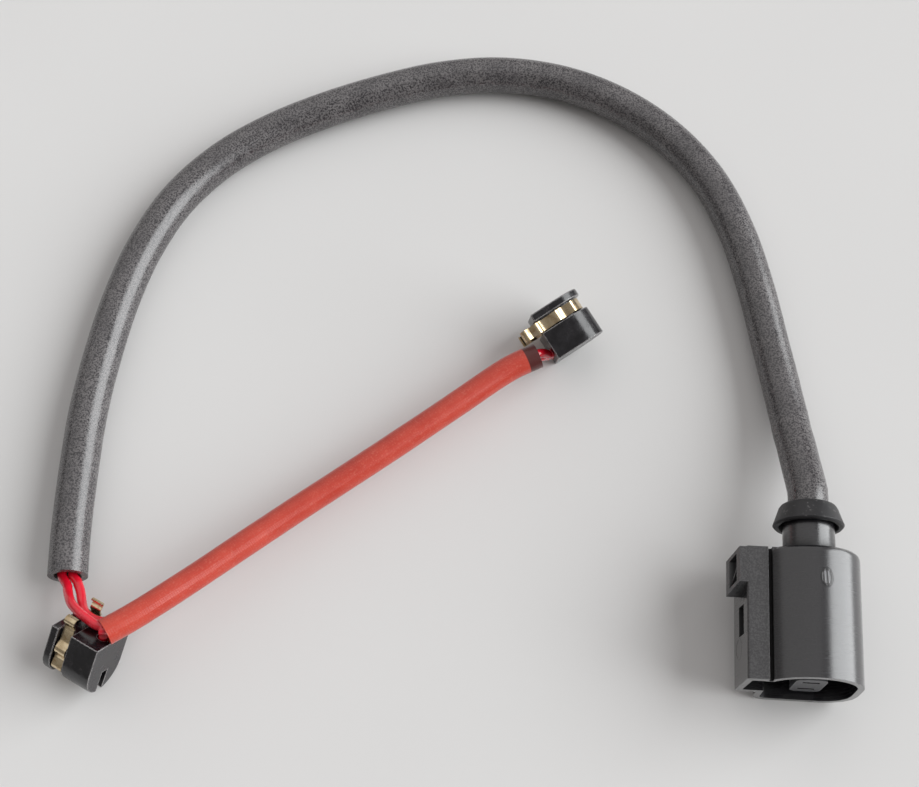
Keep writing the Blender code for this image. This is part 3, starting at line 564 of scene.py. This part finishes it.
def bump_group():
    """A normal for a fine moulded or worn surface: rounded edges, grain, and slow unevenness under it."""
    group, given, result = mask_group("fine_surface", {
        "Scale": 2500.0, "Strength": 0.2, "Height": 0.0, "Depth": 0.0001, "Rounding": 0.0})
    new_socket(group, "Normal", "Vector", output=True)
    grain = noise(group, given.outputs["Scale"], detail=4.0)
    slow = noise(group, maths(group, "MULTIPLY", given.outputs["Scale"], 0.12), detail=1.0)
    both = maths(group, "ADD", grain, maths(group, "MULTIPLY", slow, 1.5))
    rounded = add(group, "ShaderNodeBevel", samples=6)
    group.links.new(given.outputs["Rounding"], rounded.inputs["Radius"])
    rough = add(group, "ShaderNodeBump")
    rough.inputs["Distance"].default_value = GRAIN_HEIGHT
    group.links.new(rounded.outputs[0], rough.inputs["Normal"])
    group.links.new(given.outputs["Strength"], rough.inputs["Strength"])
    group.links.new(both, rough.inputs["Height"])
    shaped = add(group, "ShaderNodeBump")
    shaped.inputs["Strength"].default_value = 1.0
    group.links.new(given.outputs["Depth"], shaped.inputs["Distance"])
    group.links.new(given.outputs["Height"], shaped.inputs["Height"])
    group.links.new(rough.outputs[0], shaped.inputs["Normal"])
    group.links.new(shaped.outputs[0], result.inputs["Normal"])
    return group


def mark_group():
    """An oval moulded mark: a raised ring about a middle, over two of the piece's own axes."""
    group, given, result = mask_group("oval_mark", {
        "Middle": (0.0, 0.0, 0.0), "Half Size": (1.0, 1.0, 1.0)})
    new_socket(group, "Inside", "Float", output=True)
    new_socket(group, "Ring", "Float", output=True)
    where = add(group, "ShaderNodeTexCoord")
    offset = add(group, "ShaderNodeVectorMath", operation="SUBTRACT")
    group.links.new(where.outputs["Object"], offset.inputs[0])
    group.links.new(given.outputs["Middle"], offset.inputs[1])
    scaled = add(group, "ShaderNodeVectorMath", operation="DIVIDE")
    group.links.new(offset.outputs[0], scaled.inputs[0])
    group.links.new(given.outputs["Half Size"], scaled.inputs[1])
    reach = add(group, "ShaderNodeVectorMath", operation="LENGTH")
    group.links.new(scaled.outputs[0], reach.inputs[0])
    away = reach.outputs["Value"]
    group.links.new(ranged(group, away, 0.95, 0.75), result.inputs["Inside"])
    ring = maths(group, "MULTIPLY", ranged(group, away, 1.05, 0.9), ranged(group, away, 0.65, 0.8))
    group.links.new(ring, result.inputs["Ring"])
    return group


def hollow_group():
    """How deep in a recess of its own piece a surface lies, from 0 outside to 1 inside, used as the mask
    for painted shade in recesses.
    """
    group, given, result = mask_group("hollow", {"Reach": 0.006})
    new_socket(group, "Mask", "Float", output=True)
    open_sky = add(group, "ShaderNodeAmbientOcclusion", samples=8, only_local=True)
    group.links.new(given.outputs["Reach"], open_sky.inputs["Distance"])
    group.links.new(ranged(group, open_sky.outputs["AO"], SKY_OUTSIDE, SKY_INSIDE), result.inputs["Mask"])
    return group


MAKERS = {
    "speckle": speckle_group,
    "edge_wear_and_highlight": edge_group,
    "fine_surface": bump_group,
    "oval_mark": mark_group,
    "hollow": hollow_group,
    "tube": tube_nodes,
    "strip": strip_nodes,
}
GROUPS = {}


def shared(name):
    """One of the shared node groups, made when it is first asked for."""
    if name not in GROUPS:
        GROUPS[name] = MAKERS[name]()
    return GROUPS[name]


def effect(tree, name, **values):
    """A shared shader group placed in a material, with its own values."""
    node = add(tree, "ShaderNodeGroup", node_tree=shared(name))
    for key, value in values.items():
        feed(tree, node.inputs[key.replace("_", " ")], value)
    return node


def mask(tree, name, **values):
    """The mask of a shared shader group placed in a material."""
    return effect(tree, name, **values).outputs["Mask"]


def fine_normal(tree, **values):
    """The normal of a finely uneven surface."""
    return effect(tree, "fine_surface", **values).outputs["Normal"]


def blend(tree, cover, first, second):
    """Two colours mixed by how far the second covers the first."""
    made = add(tree, "ShaderNodeMix", data_type="RGBA")
    for key, given in (("Factor", cover), (MIX_FIRST, first), (MIX_SECOND, second)):
        feed(tree, made.inputs[key], given)
    return made.outputs[MIX_RESULT]


def new_material(name, **constants):
    """A new material, its tree and its shader, with constants set on the shader."""
    made = bpy.data.materials.new(name)
    made.use_nodes = True
    tree = made.node_tree
    surface = tree.nodes["Principled BSDF"]
    for key, value in constants.items():
        surface.inputs[key.replace("_", " ")].default_value = value
    return made, tree, surface


def set_surface(tree, surface, colour, rough, normal=None):
    """Gives a material's shader its colour, its roughness and, if it has one, its own normal."""
    feed(tree, surface.inputs["Base Color"], colour)
    feed(tree, surface.inputs["Roughness"], rough)
    if normal is not None:
        tree.links.new(normal, surface.inputs["Normal"])


# Materials


def patches(tree, scale, low=0.35, high=0.65, detail=3.0):
    """Slow patches over a piece, from 0 to 1."""
    return ranged(tree, noise(tree, scale, detail=detail), low, high)


def over(tree, cover, amount, below, colour):
    """A colour laid over another one where a mask is, by some amount of it."""
    return blend(tree, maths(tree, "MULTIPLY", cover, amount), below, colour)


def sleeve_material(tone):
    """The sleeve: dark and dull, with fine pale grains."""
    made, tree, surface = new_material("sleeve_rubber", Specular_IOR_Level=0.8)
    grains = mask(tree, "speckle", Scale=3000.0, Cover=0.85)
    ground = blend(tree, patches(tree, 160.0, detail=2.0), tone, varied(tone, SLEEVE_PALER))
    colour = over(tree, grains, 0.7, ground, srgb(128, 124, 124))
    rough = ranged(tree, grains, 0.0, 1.0, 0.22, 0.34)
    set_surface(tree, surface, colour, rough, fine_normal(tree, Scale=3000.0, Strength=0.55))
    return made


def tube_material(tone):
    """The red tube: a coated weave with dust on it, and a painted shadow of head 2 as a dark band at its
    end.
    """
    made, tree, surface = new_material(
        "tube_rubber", Specular_IOR_Level=0.6, Sheen_Weight=0.1, Sheen_Roughness=0.4)
    along = add(tree, "ShaderNodeAttribute", attribute_name="along").outputs["Fac"]
    around = add(tree, "ShaderNodeAttribute", attribute_name="around").outputs["Fac"]
    turns = maths(tree, "MULTIPLY", around, 2 * math.pi * WEAVE_STRANDS)
    steps = maths(tree, "MULTIPLY", along, 2 * math.pi / WEAVE_STEP)
    one = maths(tree, "SINE", maths(tree, "ADD", turns, steps))
    two = maths(tree, "SINE", maths(tree, "SUBTRACT", turns, steps))
    weave = ranged(tree, maths(tree, "MULTIPLY", one, two), -1.0, 1.0)
    slow = patches(tree, 180.0, 0.3, 0.7)
    colour = blend(tree, slow, tone, varied(tone, TUBE_PALER))
    colour = over(tree, weave, 0.18, colour, srgb(158, 40, 28))
    colour = over(tree, mask(tree, "speckle", Scale=2400.0, Cover=0.55), 0.3, colour, srgb(214, 132, 114))
    # Painted shadow of head 2: a dark band at the tube's end
    end = ranged(tree, along, HEAD_SHADOW_END, HEAD_SHADOW_END + HEAD_SHADOW_EDGE, 1.0, 0.0)
    colour = blend(tree, end, colour, srgb(78, 24, 21))
    normal = fine_normal(tree, Scale=1500.0, Strength=0.25, Height=weave, Depth=0.00002)
    set_surface(tree, surface, colour, ranged(tree, slow, 0.0, 1.0, 0.28, 0.4), normal)
    return made


def wire_material(tone):
    """The wires' insulation: bright and glossy."""
    made, tree, surface = new_material("wire_insulation", Coat_Weight=0.6, Coat_Roughness=0.08)
    slow = patches(tree, 400.0, 0.3, 0.7, detail=2.0)
    colour = blend(tree, slow, tone, varied(tone, WIRE_PALER))
    rough = ranged(tree, slow, 0.0, 1.0, 0.18, 0.3)
    set_surface(tree, surface, colour, rough, fine_normal(tree, Scale=900.0, Strength=0.12))
    return made


def plug_mark(tree, middle, half_size):
    """One of the moulded marks on the plug."""
    return effect(tree, "oval_mark", Middle=middle, Half_Size=half_size).outputs


def housing_material(tone):
    """The plug's plastic: finely streaked, duller on the hood, with worn edges and moulded marks; painted
    shade in the marks' rings, the flank mark and the recesses, and a painted highlight in the ejector mark.
    """
    made, tree, surface = new_material("housing_plastic", Specular_IOR_Level=0.55, Coat_Roughness=0.24)
    where = add(tree, "ShaderNodeTexCoord").outputs["Object"]
    parts = add(tree, "ShaderNodeSeparateXYZ")
    tree.links.new(where, parts.inputs[0])
    sideways = ranged(tree, parts.outputs["X"], HOOD_EDGE, HOOD_EDGE - HOOD_EDGE_WIDTH)
    upwards = ranged(tree, parts.outputs["Z"], HOOD_SKIN - HOOD_SKIN_WIDTH, HOOD_SKIN)
    hood = maths(tree, "MULTIPLY", sideways, upwards)
    grains = mask(tree, "speckle", Scale=3000.0, Cover=0.8)
    dusty = maths(tree, "MULTIPLY", grains, maths(tree, "ADD", maths(tree, "MULTIPLY", hood, 0.2), 0.05))
    streaks = ranged(tree, noise(tree, 900.0, detail=3.0, stretch=(0.12, 3.0, 0.12)), 0.3, 0.75)
    worn = mask(tree, "edge_wear_and_highlight", Radius=0.00025, Scale=700.0, Cover=0.75)
    ejector = plug_mark(tree, EJECTOR_MARK, (*EJECTOR_SIZE, 1.0))
    gate = plug_mark(tree, GATE_MARK, (*GATE_SIZE, 1.0))
    flank = plug_mark(tree, FLANK_MARK, (FLANK_DEPTH, *FLANK_SIZE))
    strokes = add(tree, "ShaderNodeTexWave", bands_direction="X")
    strokes.inputs["Scale"].default_value = EJECTOR_STROKES
    tree.links.new(where, strokes.inputs["Vector"])
    lit = maths(tree, "MULTIPLY", ejector["Inside"], strokes.outputs["Fac"])
    rings = maths(tree, "ADD", maths(tree, "ADD", ejector["Ring"], gate["Ring"]), flank["Ring"])
    deep = mask(tree, "hollow")
    colour = blend(tree, streaks, tone, varied(tone, PLUG_PALER))
    colour = over(tree, hood, 0.5, colour, srgb(30, 29, 31))
    colour = blend(tree, dusty, colour, srgb(112, 110, 111))
    colour = over(tree, worn, 0.45, colour, srgb(110, 108, 110))
    # Painted highlight: the ejector mark's inside lit in fine strokes
    colour = over(tree, lit, 0.55, colour, srgb(140, 139, 142))
    # Painted shade: a dark ring round each moulded mark
    colour = over(tree, rings, 0.85, colour, srgb(6, 6, 7))
    # Painted shade inside the flank's recessed mark
    colour = over(tree, flank["Inside"], 0.7, colour, srgb(10, 10, 12))
    # Painted shade deep in the plug's recesses
    colour = over(tree, deep, 0.93, colour, srgb(7, 7, 8))
    smooth = ranged(tree, streaks, 0.0, 1.0, 0.2, 0.3)
    duller = maths(tree, "ADD", smooth, maths(tree, "MULTIPLY", hood, 0.2))
    rough = maths(tree, "ADD", duller, maths(tree, "MULTIPLY", deep, 0.5))
    height = maths(tree, "ADD", rings, maths(tree, "SUBTRACT", lit, flank["Inside"]))
    normal = fine_normal(
        tree, Scale=1800.0, Strength=0.2, Height=height, Depth=0.0002, Rounding=EDGE_ROUNDING)
    tree.links.new(maths(tree, "SUBTRACT", 1.0, deep), surface.inputs["Coat Weight"])
    set_surface(tree, surface, colour, rough, normal)
    return made


def insert_material():
    """The tongue's grey plastic, with pale worn edges and painted shade in its recesses."""
    made, tree, surface = new_material("insert_plastic", Specular_IOR_Level=0.5)
    worn = mask(tree, "edge_wear_and_highlight", Radius=0.0003, Scale=600.0, Cover=0.9)
    ground = blend(tree, patches(tree, 500.0), srgb(78, 78, 81), srgb(92, 92, 95))
    colour = blend(tree, worn, ground, srgb(158, 158, 160))
    # Painted shade deep in the tongue's recesses
    colour = over(tree, mask(tree, "hollow", Reach=0.003), 0.9, colour, srgb(12, 12, 13))
    normal = fine_normal(tree, Scale=2200.0, Strength=0.25, Rounding=EDGE_ROUNDING)
    set_surface(tree, surface, colour, 0.42, normal)
    return made


def boot_material():
    """The boot's dark rubber, with grey dust."""
    made, tree, surface = new_material("boot_rubber", Specular_IOR_Level=0.6)
    slow = patches(tree, 350.0)
    ground = blend(tree, slow, srgb(27, 27, 29), srgb(34, 33, 35))
    colour = over(tree, mask(tree, "speckle", Scale=1100.0, Cover=0.35), 0.7, ground, srgb(140, 138, 138))
    normal = fine_normal(tree, Scale=1600.0, Strength=0.35, Rounding=EDGE_ROUNDING)
    set_surface(tree, surface, colour, ranged(tree, slow, 0.0, 1.0, 0.38, 0.48), normal)
    return made


def head_material():
    """The heads' glossy black plastic, with pale nicked edges and a painted highlight along nearly every
    edge.
    """
    made, tree, surface = new_material("head_plastic", Specular_IOR_Level=0.7)
    nicks_and_edge_highlight = mask(tree, "edge_wear_and_highlight", Radius=0.00034, Scale=1100.0, Cover=1.0)
    slow = patches(tree, 420.0)
    colour = blend(tree, slow, srgb(14, 13, 16), srgb(24, 22, 26))
    colour = over(tree, mask(tree, "speckle", Scale=900.0, Cover=0.3), 0.3, colour, srgb(110, 106, 108))
    # Pale nicks, and a painted highlight along nearly every edge
    colour = over(tree, nicks_and_edge_highlight, 0.9, colour, srgb(196, 192, 192))
    normal = fine_normal(
        tree, Scale=900.0, Strength=0.3, Height=nicks_and_edge_highlight, Depth=0.00004, Rounding=EDGE_ROUNDING)
    set_surface(tree, surface, colour, ranged(tree, slow, 0.0, 1.0, 0.16, 0.3), normal)
    return made


def spring_material():
    """The spring clips' pale steel: rolled lines along the strip, and light stains."""
    made, tree, surface = new_material("spring_steel", Metallic=1.0, Anisotropic=0.3)
    along = add(tree, "ShaderNodeAttribute", attribute_name="along").outputs["Fac"]
    lines = add(tree, "ShaderNodeTexNoise", noise_dimensions="1D")
    lines.inputs["Scale"].default_value = 900.0
    tree.links.new(along, lines.inputs["W"])
    stain = patches(tree, 700.0, 0.42, 0.7, detail=4.0)
    ground = blend(tree, lines.outputs["Fac"], srgb(214, 192, 152), srgb(232, 216, 186))
    colour = over(tree, stain, 0.7, ground, srgb(158, 128, 86))
    rough = ranged(tree, stain, 0.0, 1.0, 0.2, 0.34)
    set_surface(tree, surface, colour, rough, fine_normal(tree, Scale=1500.0, Strength=0.06))
    return made


def two_tone_material(name, scale, tones, roughness, grain, **constants):
    """A simple surface: two tones and two roughnesses over slow patches, with a fine grain."""
    made, tree, surface = new_material(name, **constants)
    slow = patches(tree, scale)
    rough = ranged(tree, slow, 0.0, 1.0, *roughness)
    normal = fine_normal(tree, Scale=grain[0], Strength=grain[1])
    set_surface(tree, surface, blend(tree, slow, *tones), rough, normal)
    return made


def contact_material():
    """The contacts' tinned metal."""
    tones = srgb(176, 170, 150), srgb(206, 200, 184)
    return two_tone_material("contact_metal", 900.0, tones, (0.25, 0.4), (2600.0, 0.15), Metallic=1.0)


def loop_material():
    """The bare metal of the loops in the heads."""
    tones = srgb(196, 122, 78), srgb(222, 150, 104)
    return two_tone_material("loop_metal", 900.0, tones, (0.25, 0.45), (2600.0, 0.15), Metallic=1.0)


def seal_material():
    """The seals' brown rubber."""
    tones = srgb(150, 66, 38), srgb(172, 82, 50)
    return two_tone_material(
        "seal_rubber", 600.0, tones, (0.5, 0.65), (1800.0, 0.3), Specular_IOR_Level=0.4)


def floor_material():
    """The pale surface under the part."""
    made, tree, surface = new_material("floor_paper", Specular_IOR_Level=0.25)
    slow = patches(tree, 9.0, 0.3, 0.7, detail=2.0)
    set_surface(tree, surface, blend(tree, slow, srgb(218, 217, 216), srgb(221, 220, 219)), 0.7)
    return made


# Pieces


def ready(piece, material=None, nodes=()):
    """Gives a piece its material and slot, ties it to the one body and lets it stand for CAD nodes."""
    if material is not None:
        piece.data.materials.clear()
        piece.data.materials.append(material)
    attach(piece, "root")
    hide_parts(*nodes)
    return piece


def flat_regions(work):
    """For each face of a mesh, the area of the flat region that it belongs to."""
    level = math.cos(math.radians(FLAT_ANGLE))
    areas = {}
    for first in work.faces:
        if first in areas:
            continue
        region, found = {first}, [first]
        while found:
            face = found.pop()
            for edge in face.edges:
                for other in edge.link_faces:
                    is_new = other not in region and other not in areas
                    if is_new and other.normal.dot(face.normal) > level:
                        region.add(other)
                        found.append(other)
        area = sum(face.calc_area() for face in region)
        areas.update((face, area) for face in region)
    return areas


def corner_normals(work):
    """A normal for each face corner: flat faces stay flat, and a curve's facets run into one another."""
    areas = flat_regions(work)
    limit = math.cos(math.radians(SHARP_ANGLE))
    normals = []
    for face in work.faces:
        for corner in face.loops:
            total, seen = Vector(), set()
            for other in corner.vert.link_faces:
                key = tuple(round(c, 3) for c in other.normal)
                if key not in seen and other.normal.dot(face.normal) > limit:
                    seen.add(key)
                    total += other.normal * (areas[other] / MM ** 2) ** 2
            normals.append(total.normalized() if total.length > 0 else face.normal.copy())
    return normals


def refined(node, material):
    """A CAD piece as one connected surface, smooth over its curves and flat over its flats."""
    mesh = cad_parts[node].data.copy()
    work = bmesh.new()
    work.from_mesh(mesh)
    bmesh.ops.remove_doubles(work, verts=work.verts, dist=MERGE_DISTANCE)
    work.normal_update()
    work.faces.index_update()
    normals = corner_normals(work)
    work.to_mesh(mesh)
    work.free()
    mesh.shade_smooth()
    mesh.normals_split_custom_set(normals)
    piece = bpy.data.objects.new(f"{node}_fine", mesh)
    bpy.context.scene.collection.objects.link(piece)
    return ready(piece, material, [node])


def spring_line(ends, step):
    """The whole line of a spring clip, from one arm's end round the core to the other's."""
    near, far = [smooth_points([Vector((x, y, 0)) * MM for x, y in SPRING_ARM + end], step) for end in ends]
    flat = [Vector((p.x, -p.y, 0)) for p in reversed(near[1:])] + far
    return [p + Vector((0, 0, SPRING_MIDDLE)) for p in flat]


def length_setting(name, description, default, low, high):
    """A length that a user can change."""
    return FloatProperty(
        name=name, description=description, default=default, min=low, max=high, precision=4, unit="LENGTH")


def colour_setting(name, description, default):
    """A colour that a user can change."""
    return FloatVectorProperty(
        name=name, description=description, default=default, size=4, min=0.0, max=1.0, subtype="COLOR")


class SensorSettings(bpy.types.PropertyGroup):
    """Sizes, fineness and colours of the sensor's pieces, and the stage's settings"""

    sleeve_diameter: length_setting(
        "Sleeve diameter", "Outer diameter of the sleeve", SLEEVE_DIAMETER, 0.004, 0.012)
    tube_diameter: length_setting(
        "Tube diameter", "Outer diameter of the red tube", TUBE_DIAMETER, 0.003, 0.008)
    wire_diameter: length_setting("Wire diameter", "Diameter of each wire", WIRE_DIAMETER, 0.001, 0.002)
    cord_sides: IntProperty(
        name="Cord sides", description="Sides of the sleeve and the tube", default=40, min=12, max=96)
    wire_sides: IntProperty(name="Wire sides", description="Sides of each wire", default=20, min=8, max=48)
    plug_colour: colour_setting("Plug colour", "Darker tone of the plug's housing", PLUG_COLOUR)
    sleeve_colour: colour_setting("Sleeve colour", "Darker tone of the sleeve", SLEEVE_COLOUR)
    tube_colour: colour_setting("Tube colour", "Darker tone of the red tube", TUBE_COLOUR)
    wire_colour: colour_setting("Wire colour", "Darker tone of the wires", WIRE_COLOUR)
    camera_elevation: FloatProperty(
        name="Camera elevation", description="Angle of the camera above the floor",
        default=math.radians(CAMERA_ELEVATION), min=0.1, max=1.57, subtype="ANGLE")
    pale_floor: BoolProperty(name="Pale floor", description="Lay the part on a pale floor", default=True)


class SENSOR_OT_plug(bpy.types.Operator):
    """Build the plug: housing, tongue, contacts, seals and boot"""

    bl_idname = "sensor.plug"
    bl_label = "Build plug"

    def execute(self, context):
        tone = context.scene.sensor.plug_colour
        refined("connector_housing", housing_material(tone))
        insert, contact, seal = insert_material(), contact_material(), seal_material()
        for node in ("terminal_carrier", "terminal_lock"):
            refined(node, insert)
        for node in ("terminal_1", "terminal_2"):
            refined(node, contact)
        for node in ("wire_seal_1", "wire_seal_2", "socket_seal"):
            refined(node, seal)
        refined("boot", boot_material())
        return {"FINISHED"}


class SENSOR_OT_lead(bpy.types.Operator):
    """Build the sleeve, the red tube and the three wires along their routes"""

    bl_idname = "sensor.lead"
    bl_label = "Build lead"

    def execute(self, context):
        settings = context.scene.sensor
        group = shared("tube")
        sleeve_path, tube_path = sleeve_line(CORD_STEP), tube_line(CORD_STEP)
        sleeve = along_curve("sleeve_fine", sleeve_path, group, {
            "Radius": settings.sleeve_diameter / 2, "Sides": settings.cord_sides, "Closed Ends": False,
            "Unevenness": SLEEVE_UNEVENNESS, "Material": sleeve_material(settings.sleeve_colour)},
            wall=SLEEVE_WALL)
        tube = along_curve("red_tube_fine", tube_path, group, {
            "Radius": settings.tube_diameter / 2, "Sides": settings.cord_sides, "Closed Ends": False,
            "Unevenness": TUBE_UNEVENNESS, "Material": tube_material(settings.tube_colour)},
            wall=TUBE_WALL)
        ready(sleeve, nodes=["sleeve"])
        ready(tube, nodes=["red_tube"])
        insulation = wire_material(settings.wire_colour)
        for node, line in wire_lines(WIRE_STEP).items():
            wire = along_curve(f"{node}_fine", line, group, {
                "Radius": settings.wire_diameter / 2, "Sides": settings.wire_sides, "Closed Ends": True,
                "Unevenness": WIRE_UNEVENNESS, "Material": insulation})
            ready(wire, nodes=[node])
        return {"FINISHED"}


class SENSOR_OT_heads(bpy.types.Operator):
    """Build both sensor heads, their spring clips and the bare loops inside them"""

    bl_idname = "sensor.heads"
    bl_label = "Build heads"

    def execute(self, context):
        plastic, steel, bare = head_material(), spring_material(), loop_material()
        shapes = {
            "head_1": (HEAD_1, (SPRING_SHORT_END, SPRING_LONG_END)),
            "head_2": (HEAD_2, (SPRING_LONG_END, SPRING_LONG_END)),
        }
        for name, (matrix, ends) in shapes.items():
            refined(f"{name}_body", plastic)
            refined(f"{name}_loop", bare)
            line = spring_line(ends, SPRING_STEP)
            spring = along_curve(f"{name}_spring_fine", line, shared("strip"), {
                "Width": SPRING_WIDTH, "Thickness": SPRING_THICKNESS, "Material": steel})
            spring.data.transform(matrix)
            ready(spring, nodes=[f"{name}_spring"])
        return {"FINISHED"}


class SENSOR_OT_stage(bpy.types.Operator):
    """Lay a pale floor, light it softly and set the camera at the photograph's angle"""

    bl_idname = "sensor.stage"
    bl_label = "Build stage"

    def execute(self, context):
        scene = context.scene
        if scene.sensor.pale_floor:
            data = bpy.data.meshes.new("floor")
            work = bmesh.new()
            bmesh.ops.create_grid(work, x_segments=1, y_segments=1, size=FLOOR_HALF_SIZE)
            work.to_mesh(data)
            work.free()
            data.materials.append(floor_material())
            floor = bpy.data.objects.new("floor", data)
            scene.collection.objects.link(floor)
        for name, place, spread, power, colour in LAMPS:
            lamp = bpy.data.lights.new(name, "SUN")
            lamp.angle = math.radians(spread)
            lamp.energy = power
            lamp.color = colour
            holder = bpy.data.objects.new(name, lamp)
            holder.location = place
            holder.rotation_euler = (-Vector(place)).to_track_quat("-Z", "Y").to_euler()
            scene.collection.objects.link(holder)
        world = bpy.data.worlds.new("studio")
        world.use_nodes = True
        room = world.node_tree.nodes["Background"]
        room.inputs["Color"].default_value = ROOM_COLOUR
        room.inputs["Strength"].default_value = ROOM_STRENGTH
        scene.world = world
        lens = bpy.data.cameras.new("photo")
        lens.sensor_width = CAMERA_SENSOR
        lens.lens = CAMERA_LENS
        lens.clip_start = CAMERA_CLIP
        camera = bpy.data.objects.new("photo", lens)
        tilt = scene.sensor.camera_elevation
        back = Vector((0.0, -math.cos(tilt), math.sin(tilt)))
        camera.location = back * CAMERA_DISTANCE - ORIGIN
        camera.rotation_euler = (math.pi / 2 - tilt, 0.0, 0.0)
        scene.collection.objects.link(camera)
        scene.camera = camera
        scene.view_settings.view_transform = "Standard"
        return {"FINISHED"}


class SENSOR_PT_panel(bpy.types.Panel):
    """The sensor's settings and its steps, in order"""

    bl_idname = "SENSOR_PT_panel"
    bl_label = "Wear sensor"
    bl_space_type = "VIEW_3D"
    bl_region_type = "UI"
    bl_category = "Wear sensor"

    def draw(self, context):
        layout = self.layout
        for name in SensorSettings.__annotations__:
            layout.prop(context.scene.sensor, name)
        for step in STEPS:
            layout.operator(step.bl_idname)


STEPS = (SENSOR_OT_plug, SENSOR_OT_lead, SENSOR_OT_heads, SENSOR_OT_stage)
CLASSES = (SensorSettings, *STEPS, SENSOR_PT_panel)


def register():
    """Adds the sensor's classes and its settings to Blender."""
    for item in CLASSES:
        bpy.utils.register_class(item)
    bpy.types.Scene.sensor = PointerProperty(type=SensorSettings)


def unregister():
    """Takes the sensor's classes and its settings out of Blender."""
    del bpy.types.Scene.sensor
    for item in reversed(CLASSES):
        bpy.utils.unregister_class(item)


def main():
    """Builds the whole sensor and its stage."""
    register()
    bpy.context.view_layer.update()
    bpy.ops.sensor.plug()
    bpy.ops.sensor.lead()
    bpy.ops.sensor.heads()
    bpy.ops.sensor.stage()


if __name__ == "__main__":
    main()
